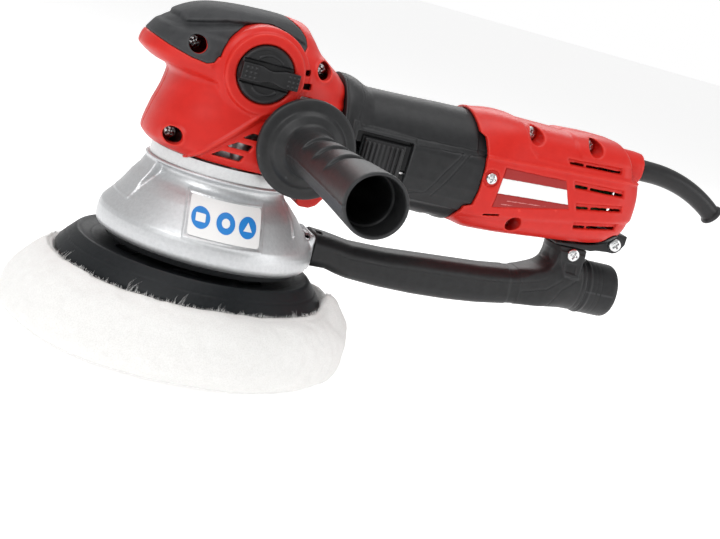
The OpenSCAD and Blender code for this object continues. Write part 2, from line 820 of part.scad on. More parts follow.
module speed_module() {
    color("darkgreen") {
        translate([203, 1, 118]) cube([33, 1.6, 24]);
        for (x = [204.5, 214]) translate([x, 2.6, 120]) cube([8, 6, 16]);
        translate([210, -10, 118]) cube([14, 11, 16]);
        translate([dial_x - 5, 2.6, dial_z - 6]) cube([10.5, 5.6, 12]);
        on_side(dial_x, dial_z, 18.4) cylinder(r = 2, h = 10.6);
    }
}

module speed_dial() {
    color("black") difference() {
        on_side(dial_x, dial_z, 16) cylinder(r = dial_r, h = 6.5);
        on_side(dial_x, dial_z, 20) cylinder(r = 2 + run_fit, h = 16);
        for (i = [0 : 19]) rotate_dial(i * 18) cube([2, 12, 1.2], center = true);
    }
}

module rotate_dial(turn) {
    translate([dial_x, 13, dial_z]) rotate([0, turn, 0]) translate([dial_r, 0, 0]) children();
}

// ---------- side handle ----------

module side_handle_grip() {
    color("black") on_side(handle_x, handle_z, handle_y) difference() {
        rotate_extrude() polygon([[0, 0], [flange_r - 1, 0], [flange_r, 1], [flange_r, 3.4],
            [flange_r - 1.4, 4.6], [20, 6], [15.4, 10], [13, 17], [12.4, 27], [12.8, 50],
            [13.8, 85], [handle_r - 0.3, handle_l - 12], [handle_r, handle_l], [0, handle_l + 4.4]]);
        translate([0, 0, handle_l]) cylinder(r = 30, h = 10);
        translate([0, 0, handle_l - 16]) cylinder(r = handle_r - 2.05, h = 30);
        translate([0, 0, 40]) cylinder(r1 = 9.5, r2 = 12.4, h = handle_l - 56 + 0.1);
        translate([0, 0, -1]) cylinder(r = 4, h = 31);
    }
}

module side_handle_stud() {
    color("silver") on_side(handle_x, handle_z, -21) cylinder(r = 4, h = 24.3 + 29);
}

// ---------- extraction tube ----------

// Place, underside, top, half width and roundness of the tube, which is a second handle.
tube_stations = [
    [59.6, 58.6, 77.4, 14.9, 3], [70, 59.2, 76.2, 14.5, 3], [77.6, 56.6, 75.2, 14.1, 2.9],
    [84, 54.9, 74.4, 13.8, 2.8],
    [105, 53.2, 75.2, 13.2, 2.8], [125, 53.2, 76.8, 13, 2.8], [147, 54.2, 78.3, 13, 2.8],
    [166, 56, 80, 13.2, 2.8], [185, 59, 83.4, 13.8, 2.8], [200, 61.4, 89, 14.6, 2.8],
    [212, 62.6, 94.4, 15.4, 2.6], [222, 63, 95, 16, 2.2], [230, 63, 95, 16, 2]];

module tube_form(inset, reach) {
    last = len(tube_stations) - 1;
    loft([for (i = [0 : last]) let (s = tube_stations[i])
        cross_ring(s[0] + (i == 0 ? -reach : i == last ? reach : 0), s[1] + inset, s[2] - inset,
            s[3] - inset, s[4], 24)]);
}

// The tube's upturned end, whose front is set back towards its sides.
function upright(back) = [[193 + back, 84], [199 + back, 88.4], [202.4 + back, 93],
    [203.4 + back, 99.8], [203.4 + back, 102.4], [225, 102.4], [225, 90]];

module extraction_tube() {
    color("black") difference() {
        union() {
            tube_form(0, 0);
            for (step = [[4, 0], [8, 1.6], [11, 3.6], [12.5, 5.4]])
                side_prism(upright(step[1]), -step[0], step[0]);
        }
        tube_form(2.5, 1);
        translate([207.8, -tongue_w / 2 - 0.2, 96]) cube([15, tongue_w + 0.4, 10]);
        clamp_bore(0);
    }
}

module hose_port() {
    color("black") translate([0, 0, port_z - motor_z]) on_motor(port_x) difference() {
        union() {
            cylinder(r = port_r, h = 20.8);
            translate([0, 0, 2]) cylinder(r = port_r + 0.6, h = 1.5);
            translate([0, 0, 20.8]) cylinder(r1 = port_r, r2 = port_r - 1, h = 1);
        }
        translate([0, 0, -1]) cylinder(r = port_bore_r, h = 30);
    }
}

// The lower rear corner of the tail, which the bracket fills.
function bracket_corner(gap) = [[228.6 + gap, 90], [228.6 + gap, 109.4 - gap],
    [229.8 + gap, 113.2 - gap], [231.4, 114.3 - gap], [262, 115.6 - gap], [262, 90]];

module clamp_bore(i) {
    on_side(clamp_screw_places[i][0], clamp_screw_places[i][1], 20) cylinder(r = 2.1, h = 40);
}

module clamp_bracket() {
    color("black") difference() {
        union() {
            difference() {
                side_prism([[203.4, 102.6], [227, 102.6], [230, 103.6], [241, 104.6], [245.6, 107.2],
                    [247.8, 111], [247.8, 116.4], [238, 116.4], [203.4, 106.6]], -13, 13);
                tail_form(-0.05);
            }
            intersection() {
                side_prism(bracket_corner(0.3), -24, 24);
                tail_form(0.5);
                translate([228, -24, 100]) cube([19.8, 48, 16]);
            }
            translate([208, -tongue_w / 2, 96.2]) cube([14.6, tongue_w, 7]);
        }
        for (i = [0, 1]) clamp_bore(i);
        on_side(clamp_screw_places[1][0], clamp_screw_places[1][1], -13) cylinder(r = 4.1, h = 20);
    }
}

module clamp_screws() {
    color("silver") for (p = clamp_screw_places) on_side(p[0], p[1], -p[2]) screw(4, 2, 22);
}

head_casing_left();
head_casing_right();
head_soft_grip();
head_screws();
gearbox_housing();
bell_shroud();
bell_screws();
shroud_seal();
bell_sticker();
motor_housing();
tail_casing_left();
tail_casing_right();
tail_screws();
label_plate();
cord_sleeve();
cord_clamp();
stator_core();
field_coils();
brush_holders();
carbon_brushes();
brush_springs();
front_motor_bearing();
rear_motor_bearing();
lower_spindle_bearing();
upper_spindle_bearing();
switch_body();
speed_module();
side_handle_grip();
side_handle_stud();
extraction_tube();
hose_port();
clamp_bracket();
clamp_screws();
armature_shaft();
armature_core();
armature_windings();
commutator();
cooling_fan();
bevel_pinion();
spindle_shaft();
crown_gear();
eccentric_hub();
pad_bearing();
counterweight();
pad_spindle();
backing_plate();
pad_foam();
hook_layer();
pad_bolt();
wool_bonnet();
mode_knob();
mode_shaft();
mode_lock_rod();
slide_button();
slide_link();
speed_dial();
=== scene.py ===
"""The looks of a dual action polisher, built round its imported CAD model.

Lengths in this script are millimetres in the model's own frame, unless a name ends in _m.
The housings are measured on grids of sample points as distances to their surface, negative
inside, so that pockets, seams and creases are cut with rounded edges. Each grid is then
skinned as a mesh. The axes and ends that pieces share come from the CAD nodes' boxes, and
other sizes are written next to the piece that they shape.
"""

import functools
import json
import math
import random

import bmesh
import bpy
import numpy as np
import openvdb as vdb
from mathutils import Matrix, Vector, noise

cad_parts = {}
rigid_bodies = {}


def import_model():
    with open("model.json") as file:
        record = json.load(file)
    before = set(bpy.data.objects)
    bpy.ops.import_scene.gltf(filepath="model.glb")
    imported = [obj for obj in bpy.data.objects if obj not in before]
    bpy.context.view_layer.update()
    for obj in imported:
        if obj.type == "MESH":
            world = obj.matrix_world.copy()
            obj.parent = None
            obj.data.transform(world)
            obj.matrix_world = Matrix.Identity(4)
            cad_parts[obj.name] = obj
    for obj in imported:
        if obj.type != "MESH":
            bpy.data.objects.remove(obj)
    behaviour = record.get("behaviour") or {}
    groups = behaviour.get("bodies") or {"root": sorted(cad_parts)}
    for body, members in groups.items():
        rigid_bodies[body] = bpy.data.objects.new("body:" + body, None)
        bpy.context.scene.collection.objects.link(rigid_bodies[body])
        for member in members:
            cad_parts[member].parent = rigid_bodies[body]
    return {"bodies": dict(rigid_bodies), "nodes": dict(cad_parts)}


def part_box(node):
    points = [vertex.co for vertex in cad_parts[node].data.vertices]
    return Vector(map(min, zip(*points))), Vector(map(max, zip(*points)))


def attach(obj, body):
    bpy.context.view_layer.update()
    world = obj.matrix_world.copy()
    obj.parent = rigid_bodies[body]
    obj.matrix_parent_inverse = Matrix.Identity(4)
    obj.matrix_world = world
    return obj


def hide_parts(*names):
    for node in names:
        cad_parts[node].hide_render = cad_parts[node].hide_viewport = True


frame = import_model()
for spare in set(bpy.data.objects) - set(frame["nodes"].values()) - set(frame["bodies"].values()):
    bpy.data.objects.remove(spare)
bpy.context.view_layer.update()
MM = 0.001


# ---------- places that the CAD model gives ----------

def node_box(name):
    """The lowest and highest corner of a CAD node, in millimetres."""
    low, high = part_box(name)
    return np.array(low) / MM, np.array(high) / MM


def middle(name):
    """The middle of a CAD node's box, in millimetres."""
    low, high = node_box(name)
    return (low + high) / 2


MOTOR_Z = middle("armature_shaft")[2]
PAD_X = middle("backing_plate")[0]
PAD_TOP = node_box("backing_plate")[1][2]
# The shaft's cam puts its box's middle 1.3 above the knob's joint. The knob and its ring are
# drawn 0.6 above that joint.
KNOB_Z = middle("mode_shaft")[2] - 0.7
HANDLE_X, _, HANDLE_Z = middle("side_handle_stud")
HANDLE_FACE = node_box("side_handle_grip")[1][1]
HANDLE_END = node_box("side_handle_grip")[0][1]
PORT_Z = middle("hose_port")[2]
PORT_END = node_box("hose_port")[1][0]
MOTOR_FRONT = node_box("motor_housing")[0][0]
MOTOR_END = node_box("motor_housing")[1][0]
BAND = 7.0                 # how far from a surface its distances are measured
SIDES = 160                # points round a ring
PILOT_R = 2.1              # the bore round a casing screw's thread
SEAM = 0.25                # half of the seam's width where two casing halves meet
GAP = 0.05                 # half of the space between the halves themselves


# ---------- distance fields ----------

def glide(x, y, at):
    """A smooth curve through points that never overshoots between them."""
    step = np.diff(x)
    rise = np.diff(y) / step
    slope = np.zeros(len(x))
    slope[0], slope[-1] = rise[0], rise[-1]
    before = 2 * step[1:] + step[:-1]
    after = step[1:] + 2 * step[:-1]
    turns = rise[1:] * rise[:-1] <= 0
    safe = np.where(turns, 1, rise[:-1]), np.where(turns, 1, rise[1:])
    slope[1:-1] = np.where(turns, 0, (before + after) / (before / safe[0] + after / safe[1]))
    i = np.clip(np.searchsorted(x, at) - 1, 0, len(x) - 2)
    t = (at - x[i]) / step[i]
    return ((1 + 2 * t) * (1 - t) ** 2 * y[i] + t * (1 - t) ** 2 * step[i] * slope[i]
            + t * t * (3 - 2 * t) * y[i + 1] + t * t * (t - 1) * step[i] * slope[i + 1])


def between(stations, count):
    """The stations with smooth in-between ones added."""
    s = np.array(stations, float)
    at = np.union1d(np.linspace(s[0, 0], s[-1, 0], count), s[:, 0])
    return np.column_stack([at] + [glide(s[:, 0], s[:, k], at) for k in range(1, s.shape[1])])


def bulge(c, half, power):
    """One coordinate of an outline that runs from a circle (2) towards a box (6)."""
    return half * np.sign(c) * np.abs(c) ** (2 / power)


def flat_rings(stations):
    """Rounded rings in X and Y. A station is height, front, back, half width and power."""
    a = np.linspace(0, 2 * math.pi, SIDES, endpoint=False)
    return np.array([np.column_stack([
        (x0 + x1) / 2 + bulge(np.cos(a), (x1 - x0) / 2, p), bulge(np.sin(a), half, p),
        np.full(SIDES, z)]) for z, x0, x1, half, p in between(stations, 90)])


def cross_rings(stations):
    """Rounded rings in Y and Z. A station is place, underside, top, half width and power."""
    a = np.linspace(0, 2 * math.pi, SIDES, endpoint=False)
    return np.array([np.column_stack([
        np.full(SIDES, x), bulge(np.cos(a), half, p),
        (z0 + z1) / 2 + bulge(np.sin(a), (z1 - z0) / 2, p)])
        for x, z0, z1, half, p in between(stations, 120)])


def turned(profile, centre, axis, sides=SIDES):
    """Rings of a turned part. The profile lists radius and place along the axis."""
    a = np.linspace(0, 2 * math.pi, sides, endpoint=False)
    frames = {"x": (1, 2, 0), "y": (0, 2, 1), "z": (0, 1, 2)}
    u, v, w = frames[axis]
    rings = np.zeros((len(profile), sides, 3))
    for i, (radius, place) in enumerate(profile):
        rings[i, :, u] = centre[u] + radius * np.cos(a)
        rings[i, :, v] = centre[v] + radius * np.sin(a)
        rings[i, :, w] = centre[w] + place
    return rings


def ring_quads(count, sides, closed=False):
    """The faces between rings of points. A closed set also joins its last ring to its first."""
    nodes = np.arange(count * sides).reshape(count, sides)
    lower, upper = (nodes, np.roll(nodes, -1, 0)) if closed else (nodes[:-1], nodes[1:])
    quads = [lower, np.roll(lower, -1, 1), np.roll(upper, -1, 1), upper]
    return np.stack(quads, -1).reshape(-1, 4)


def arc(centre, radius, start, end, count):
    """Points on an arc between two angles in degrees."""
    return [(centre[0] + radius * math.cos(a), centre[1] + radius * math.sin(a))
            for a in np.radians(np.linspace(start, end, count))]


class Block:
    """A grid of sample points, in millimetres, that distances are measured on."""

    def __init__(self, low, high, step):
        self.step = step
        self.start = np.floor(np.array(low) / step).astype(int)
        self.count = np.ceil((np.array(high) - np.array(low)) / step).astype(int) + 1
        axes = [((s + np.arange(n)) * step).astype(np.float32)
                for s, n in zip(self.start, self.count)]
        self.x, self.y, self.z = np.meshgrid(*axes, indexing="ij", sparse=True)

    def solid(self, rings, closed=False):
        """Distance to the closed skin through rings of points, known within BAND of it."""
        count, sides = rings.shape[:2]
        points = rings.reshape(-1, 3)
        caps = np.zeros((0, 3), int)
        if not closed:
            hubs = count * sides
            points = np.vstack([points, rings[0].mean(0), rings[-1].mean(0)])
            caps = np.vstack([
                np.stack([ring, np.roll(ring, -1), np.full(sides, hub)], -1)
                for ring, hub in ((np.arange(sides), hubs), (np.arange(hubs - sides, hubs), hubs + 1))])
        grid = vdb.FloatGrid.createLevelSetFromPolygons(
            points.astype(np.float32), triangles=caps.astype(np.uint32),
            quads=ring_quads(count, sides, closed).astype(np.uint32),
            transform=vdb.createLinearTransform(self.step), halfWidth=BAND / self.step)
        field = np.empty(self.count, np.float32)
        grid.copyToArray(field, ijk=tuple(int(s) for s in self.start))
        return field

    def turn(self, profile, centre, axis, closed=False):
        return self.solid(turned(profile, centre, axis), closed=closed)

    def rod(self, centre, axis, radius, low=-999.0, high=999.0):
        """A round bar along an axis, endless unless low or high is given."""
        u, v, w = {"x": (self.y, self.z, self.x), "y": (self.x, self.z, self.y),
                   "z": (self.x, self.y, self.z)}[axis]
        field = np.hypot(u - centre[0], v - centre[1]) - radius
        return overlap(field, low - w, w - high)

    def box(self, low, high, radius=0.0):
        """A box with rounded edges."""
        out = [np.abs(c - (a + b) / 2) - (b - a) / 2 + radius
               for c, a, b in zip((self.x, self.y, self.z), low, high)]
        outside = np.sqrt(sum(np.maximum(o, 0) ** 2 for o in out))
        return outside + np.minimum(overlap(*out), 0) - radius

    def side(self, points, closed=True):
        """Distance across X and Z to an outline or a line, the same at every Y."""
        return outline(self.x, self.z, points, closed)

    def cross(self, points):
        """Distance across Y and Z to an outline, the same at every X."""
        return outline(self.y, self.z, points)


def outline(u, v, points, closed=True):
    """Distance to a line through points. Inside a closed one it is negative."""
    points = np.array(points, np.float32)
    starts, ends = (points, np.roll(points, -1, 0)) if closed else (points[:-1], points[1:])
    nearest = np.full(np.broadcast(u, v).shape, 1e9, np.float32)
    inside = np.zeros(nearest.shape, bool)
    for a, b in zip(starts, ends):
        along = b - a
        t = np.clip(((u - a[0]) * along[0] + (v - a[1]) * along[1]) / (along @ along), 0, 1)
        nearest = np.minimum(nearest, (u - a[0] - t * along[0]) ** 2
                             + (v - a[1] - t * along[1]) ** 2)
        if closed and a[1] != b[1]:
            inside ^= ((a[1] > v) != (b[1] > v)) & (
                u < a[0] + along[0] * (v - a[1]) / along[1])
    nearest = np.sqrt(nearest)
    return np.where(inside, -nearest, nearest) if closed else nearest


def ease(t):
    """A smooth rise from 0 to 1 as t does."""
    t = np.clip(t, 0, 1)
    return t * t * (3 - 2 * t)


def join(a, b, soft):
    """Both shapes, with a fillet where they meet."""
    return np.minimum(a, b) - np.maximum(soft - np.abs(a - b), 0) ** 2 / (4 * soft)


def cut(a, b, soft):
    """The first shape less the second, with rounded edges."""
    return -join(-a, b, soft)


def meet(a, b, soft):
    """Where both shapes are, with rounded edges."""
    return -join(-a, -b, soft)


def overlap(*shapes):
    """Where all the shapes are, with sharp edges."""
    return functools.reduce(np.maximum, shapes)


def carve(body, region, depth, soft):
    """Sinks a region of a surface by depth, with a flat floor."""
    return cut(body, overlap(region, -body - depth), soft)


def press(body, region, depth, fade):
    """Sinks a region of a surface and lets it fade in from the region's edge."""
    return body + depth * ease(-region / fade)


def skin(block, field, name):
    """The mesh where a field is zero, with its faces pointing outwards."""
    grid = vdb.FloatGrid(3 * block.step)
    reach = 3 * block.step
    grid.copyFromArray(np.clip(field, -reach, reach).astype(np.float32),
                       ijk=tuple(int(s) for s in block.start))
    grid.transform = vdb.createLinearTransform(block.step)
    points, triangles, quads = grid.convertToPolygons(0.0, 0.0)
    a, b, c = (points[quads[:, k]] for k in range(3))
    volume = np.einsum("ij,ij->i", a, np.cross(b, c)).sum()
    faces = triangles.tolist() + quads.tolist()
    if volume < 0:
        faces = [face[::-1] for face in faces]
    return new_object(name, points * MM, faces)


def new_object(name, points, faces, smooth=True):
    """A mesh object from points in metres."""
    mesh = bpy.data.meshes.new(name)
    mesh.from_pydata(points if isinstance(points, list) else points.tolist(), [], faces)
    mesh.validate()
    mesh.update()
    obj = bpy.data.objects.new(name, mesh)
    bpy.context.scene.collection.objects.link(obj)
    mesh.polygons.foreach_set("use_smooth", [smooth] * len(mesh.polygons))
    return obj


def seam_cut(block, field):
    """Cuts the shallow groove where a casing's two halves meet."""
    return cut(field, overlap(np.abs(block.y) - SEAM, -field - 0.6), 0.3)


def halves(block, casing, name):
    """Makes the left and the right half of a casing, each a piece of its own."""
    for side, hand in ((-1, "left"), (1, "right")):
        half = meet(casing, GAP - side * block.y, 0.15)
        cast(block, half, f"{name}_shell_{hand}", "housing", "red_casing", f"{name}_casing_{hand}")


def cast(block, field, name, body, finish, *nodes, slot=None):
    """Skins a field and dresses it. The slot argument is passed on to dress, which does not use it."""
    dress(skin(block, field, name), body, FINISHES[finish], slot or finish, *nodes)


def dress(obj, body, material, slot, *nodes):
    """Gives a piece its finish and its body, and hides the CAD nodes that it stands for."""
    obj.data.materials.clear()
    obj.data.materials.append(material)
    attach(obj, body)
    if nodes:
        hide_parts(*nodes)


# ---------- materials ----------

class Finish:
    """A Principled material in object space, built up one layer at a time."""

    def __init__(self, name, rough, metal=0.0, coat=0.0, sheen=0.0, specular=0.5):
        self.material = bpy.data.materials.new(name)
        self.material.use_nodes = True
        self.nodes = self.material.node_tree.nodes
        self.links = self.material.node_tree.links
        self.shader = self.nodes["Principled BSDF"]
        self.shader.inputs["Roughness"].default_value = rough
        self.shader.inputs["Metallic"].default_value = metal
        self.shader.inputs["Coat Weight"].default_value = coat
        self.shader.inputs["Sheen Weight"].default_value = sheen
        self.shader.inputs["Specular IOR Level"].default_value = specular
        self.place = self.nodes.new("ShaderNodeTexCoord").outputs["Object"]
        self.relief = None

    def pattern(self, kind, size_mm, stretch=(1, 1, 1), **settings):
        """A texture whose features are about size_mm across. Returns its value."""
        mapping = self.nodes.new("ShaderNodeMapping")
        mapping.inputs["Scale"].default_value = [s / (size_mm * MM) for s in stretch]
        self.links.new(self.place, mapping.inputs["Vector"])
        texture = self.nodes.new("ShaderNodeTex" + kind)
        for key, value in settings.items():
            if key in texture.inputs:
                texture.inputs[key].default_value = value
            else:
                setattr(texture, key, value)
        self.links.new(mapping.outputs["Vector"], texture.inputs["Vector"])
        return texture.outputs["Distance" if kind == "Voronoi" else 0]

    def ramp(self, value, *stops):
        """A colour or grey ramp. Each stop is a position and a grey level or a colour."""
        node = self.nodes.new("ShaderNodeValToRGB")
        elements = node.color_ramp.elements
        for i, (at, tone) in enumerate(stops):
            element = elements[i] if i < 2 else elements.new(at)
            element.position = at
            element.color = (*tone, 1) if isinstance(tone, tuple) else (tone, tone, tone, 1)
        self.links.new(value, node.inputs["Fac"])
        return node.outputs["Color"]

    def maths(self, how, a, b):
        node = self.nodes.new("ShaderNodeMath")
        node.operation = how
        for socket, value in zip(node.inputs, (a, b)):
            if isinstance(value, (int, float)):
                socket.default_value = value
            else:
                self.links.new(value, socket)
        return node.outputs[0]

    def tint(self, base, other, amount):
        """Mixes two colours, each a colour or a socket, by a socket."""
        node = self.nodes.new("ShaderNodeMix")
        node.data_type = "RGBA"
        self.links.new(amount, node.inputs["Factor"])
        for socket, colour in ((node.inputs[6], base), (node.inputs[7], other)):
            if isinstance(colour, tuple):
                socket.default_value = (*colour, 1)
            else:
                self.links.new(colour, socket)
        return node.outputs[2]

    def blend(self, base, other, value, low, high):
        """The base colour where a value is under low, and the other where it is over high."""
        return self.tint(base, other, self.ramp(value, (low, 0.0), (high, 1.0)))

    def colour(self, socket):
        self.links.new(socket, self.shader.inputs["Base Color"])
        return self

    def rough(self, value, low, high):
        """Roughness between low and high, following a value from 0 to 1."""
        node = self.nodes.new("ShaderNodeMapRange")
        node.inputs["To Min"].default_value = low
        node.inputs["To Max"].default_value = high
        self.links.new(value, node.inputs["Value"])
        self.links.new(node.outputs["Result"], self.shader.inputs["Roughness"])
        return self

    def bump(self, value, height_mm):
        """Relief of the given height, on top of what is there already."""
        node = self.nodes.new("ShaderNodeBump")
        node.inputs["Strength"].default_value = 1.0
        node.inputs["Distance"].default_value = height_mm * MM
        self.links.new(value, node.inputs["Height"])
        if self.relief is not None:
            self.links.new(self.relief, node.inputs["Normal"])
        self.relief = node.outputs["Normal"]
        self.links.new(self.relief, self.shader.inputs["Normal"])
        return self

    def paint_edge_highlight(self, base, edge):
        """A lighter tone painted on the outer edges as a highlight."""
        geometry = self.nodes.new("ShaderNodeNewGeometry")
        return self.blend(base, edge, geometry.outputs["Pointiness"], 0.5, 0.57)


def moulded(name, colour, light, rough, grain_mm=0.35, depth_mm=0.012, edge_highlight=None):
    """Moulded plastic: spark-eroded grain, slight flow marks and a painted highlight on the outer edges.
    """
    f = Finish(name, rough, specular=0.3)
    cloud = f.pattern("Noise", 22, Detail=3.0)
    tone = f.blend(colour, light, cloud, 0.3, 0.75)
    # The outer edges are painted lighter as a highlight.
    if edge_highlight:
        tone = f.paint_edge_highlight(tone, edge_highlight)
    f.colour(tone)
    grain = f.pattern("Noise", grain_mm, Detail=2.0, Roughness=0.6)
    f.rough(f.pattern("Noise", 6, Detail=4.0), rough - 0.05, rough + 0.07)
    return f.bump(grain, depth_mm).material


def brushed(name, colour, dark, rough, stretch=(1, 1, 1)):
    """Machined metal: fine tool marks drawn out along one direction, and faint stains."""
    f = Finish(name, rough, metal=1.0)
    marks = f.pattern("Noise", 0.25, stretch, Detail=3.0)
    stain = f.pattern("Noise", 5, Detail=4.0)
    f.colour(f.blend(colour, dark, stain, 0.35, 0.8))
    return f.rough(marks, rough - 0.08, rough + 0.12).bump(marks, 0.006).material


def cast_paint(name, colour, dark, rough):
    """Metallic paint on a casting: flakes that glint, and the casting's orange peel."""
    f = Finish(name, rough, metal=0.75, coat=0.08)
    flake = f.pattern("Voronoi", 0.4)
    cell = f.ramp(flake, (0.05, 1.0), (0.6, 0.0))
    cloud = f.pattern("Noise", 9, Detail=4.0)
    tone = f.tint(colour, dark, f.ramp(cloud, (0.3, 0.0), (0.8, 0.7)))
    f.colour(f.tint(tone, (0.93, 0.94, 0.95), f.maths("MULTIPLY", cell, 0.3)))
    f.rough(f.pattern("Noise", 0.6, Detail=2.0), rough - 0.1, rough + 0.12)
    f.bump(f.pattern("Noise", 1.3, Detail=3.0), 0.035)
    return f.bump(f.pattern("Noise", 0.35, Detail=1.0), 0.014).material


def ringed(name, colour, groove, size_mm, rough, metal, direction):
    """Stacked or wound material: evenly spaced lines across one direction."""
    f = Finish(name, rough, metal=metal)
    lines = f.pattern("Wave", size_mm * 6.3, bands_direction=direction, Distortion=0.4)
    f.colour(f.blend(groove, colour, lines, 0.1, 0.5))
    return f.bump(lines, size_mm * 0.12).material


def wool_finish():
    f = Finish("wool_pile", 0.92, sheen=0.45, specular=0.15)
    f.shader.inputs["Sheen Roughness"].default_value = 0.5
    tuft = f.pattern("Noise", 3.2, Detail=4.0)
    f.colour(f.blend((0.76, 0.755, 0.735), (0.86, 0.855, 0.84), tuft, 0.25, 0.6))
    f.bump(f.pattern("Noise", 0.8, (1, 1, 0.35), Detail=4.0, Distortion=0.6), 0.2)
    return f.material


def foam_finish():
    f = Finish("pad_foam_cells", 0.9)
    cells = f.pattern("Voronoi", 0.7)
    f.colour(f.blend((0.10, 0.11, 0.12), (0.2, 0.21, 0.23), cells, 0.1, 0.7))
    return f.bump(cells, 0.2).material


def hook_finish():
    f = Finish("hook_fabric", 0.95, sheen=0.3)
    hooks = f.pattern("Voronoi", 0.9, (1, 1, 0.3), Randomness=0.35)
    f.colour(f.blend((0.07, 0.07, 0.075), (0.16, 0.16, 0.17), hooks, 0.1, 0.6))
    return f.bump(hooks, 0.3).material


def pad_rubber_finish():
    """Moulded polyurethane with wool dust settled on it."""
    f = Finish("pad_rubber_skin", 0.48, specular=0.25)
    dust = f.pattern("Noise", 1.1, Detail=6.0, Roughness=0.75)
    cloud = f.pattern("Noise", 14, Detail=3.0)
    film = f.maths("MULTIPLY", f.ramp(dust, (0.56, 0.0), (0.72, 1.0)), 0.12)
    tone = f.blend((0.004, 0.0055, 0.007), (0.009, 0.011, 0.013), cloud, 0.3, 0.8)
    f.colour(f.tint(tone, (0.34, 0.34, 0.34), film))
    f.rough(cloud, 0.38, 0.56)
    return f.bump(f.pattern("Noise", 0.5, Detail=2.0), 0.02).material


def board_finish():
    f = Finish("board_lacquer", 0.3, coat=0.4)
    tracks = f.pattern("Voronoi", 3.0, distance="CHEBYCHEV", Randomness=0.7)
    f.colour(f.blend((0.01, 0.11, 0.04), (0.03, 0.24, 0.09), tracks, 0.3, 0.36))
    return f.bump(tracks, 0.04).material


def paper_finish(name, colour):
    """Printed film: a faint fibre and a soft gloss."""
    f = Finish(name, 0.38, specular=0.35)
    fibre = f.pattern("Noise", 0.8, Detail=3.0)
    f.colour(f.blend(colour, tuple(c * 0.9 for c in colour), fibre, 0.35, 0.75))
    return f.bump(fibre, 0.008).material


# The edge colour given to moulded() is a painted highlight on the outer edges.
FINISHES = {
    "red_casing": moulded("red_abs", (0.53, 0.011, 0.006), (0.58, 0.014, 0.008), 0.38,
                          edge_highlight=(0.64, 0.035, 0.022)),
    "soft_grip": moulded("grip_rubber", (0.026, 0.027, 0.029), (0.038, 0.039, 0.041), 0.62,
                         0.22, 0.02, edge_highlight=(0.06, 0.061, 0.063)),
    "black_plastic": moulded("black_nylon", (0.010, 0.0103, 0.0112), (0.016, 0.0164, 0.0175), 0.44,
                             0.3, 0.016, edge_highlight=(0.035, 0.036, 0.038)),
    "knob_plastic": moulded("knob_nylon", (0.009, 0.009, 0.0095), (0.014, 0.014, 0.015), 0.36,
                            0.25, 0.012, edge_highlight=(0.035, 0.035, 0.037)),
    "handle": moulded("handle_nylon", (0.014, 0.0144, 0.015), (0.021, 0.0214, 0.0225), 0.42,
                      0.3, 0.014, edge_highlight=(0.042, 0.043, 0.045)),
    "dial_plastic": moulded("dial_nylon", (0.02, 0.02, 0.021), (0.03, 0.03, 0.031), 0.42,
                            edge_highlight=(0.06, 0.06, 0.06)),
    "cast_aluminium": cast_paint("silver_paint", (0.60, 0.61, 0.62), (0.47, 0.48, 0.49), 0.40),
    "gearbox_aluminium": cast_paint("bare_casting", (0.62, 0.63, 0.63), (0.5, 0.5, 0.51), 0.34),
    "zinc_screw": brushed("bright_zinc", (0.78, 0.79, 0.80), (0.55, 0.55, 0.54), 0.22),
    "ground_steel": brushed("ground_steel", (0.62, 0.62, 0.63), (0.48, 0.47, 0.46), 0.25, (1, 1, 6)),
    "gear_steel": brushed("gear_steel", (0.42, 0.42, 0.43), (0.28, 0.27, 0.26), 0.35, (3, 3, 1)),
    "lamination": ringed("sheet_stack", (0.32, 0.32, 0.34), (0.09, 0.09, 0.1), 0.5, 0.4, 0.9, "X"),
    "copper_wire": ringed("wound_copper", (0.72, 0.27, 0.10), (0.25, 0.08, 0.03), 0.6, 0.3, 1.0,
                          "DIAGONAL"),
    "brush_brass": brushed("sheet_brass", (0.72, 0.52, 0.22), (0.5, 0.35, 0.15), 0.3),
    "carbon": moulded("pressed_carbon", (0.03, 0.03, 0.03), (0.06, 0.06, 0.06), 0.6, 0.2, 0.02),
    "circuit_board": board_finish(),
    "white_label": paper_finish("label_film", (0.86, 0.86, 0.85)),
    "pad_rubber": pad_rubber_finish(),
    "pad_foam": foam_finish(),
    "hook_cloth": hook_finish(),
    "wool": wool_finish(),
}
# The CAD nodes that stay visible take the finish that their own material names.
for node in frame["nodes"].values():
    for place in node.material_slots:
        place.material = FINISHES[place.material.name.split(".")[0]]


# ---------- camera, floor and light ----------

def set_camera():
    """The camera stands low on the handle's side and is rolled, so the tail slopes down."""
    azimuth, elevation, roll = (math.radians(a) for a in (-20.2, 11.54, 16.14))
    back = Vector((math.sin(azimuth) * math.cos(elevation),
                   -math.cos(azimuth) * math.cos(elevation), math.sin(elevation)))
    right = Vector((math.cos(azimuth), math.sin(azimuth), 0))
    up = back.cross(right)
    turned_right = right * math.cos(roll) + up * math.sin(roll)
    turned_up = up * math.cos(roll) - right * math.sin(roll)
    camera = bpy.data.objects.new("camera", bpy.data.cameras.new("camera"))
    camera.data.sensor_width = 36
    camera.data.lens = 71.1
    camera.matrix_world = Matrix((turned_right, turned_up, back)).transposed().to_4x4()
    camera.location = (-0.18273, -0.75365, 0.22436)
    bpy.context.scene.collection.objects.link(camera)
    bpy.context.scene.camera = camera


def add_light(name, place_m, aim_m, size_m, power):
    lamp = bpy.data.lights.new(name, "AREA")
    lamp.shape = "RECTANGLE"
    lamp.size, lamp.size_y = size_m
    lamp.energy = power
    obj = bpy.data.objects.new(name, lamp)
    obj.location = place_m
    obj.rotation_mode = "QUATERNION"
    obj.rotation_quaternion = (Vector(aim_m) - Vector(place_m)).to_track_quat("-Z", "Y")
    bpy.context.scene.collection.objects.link(obj)


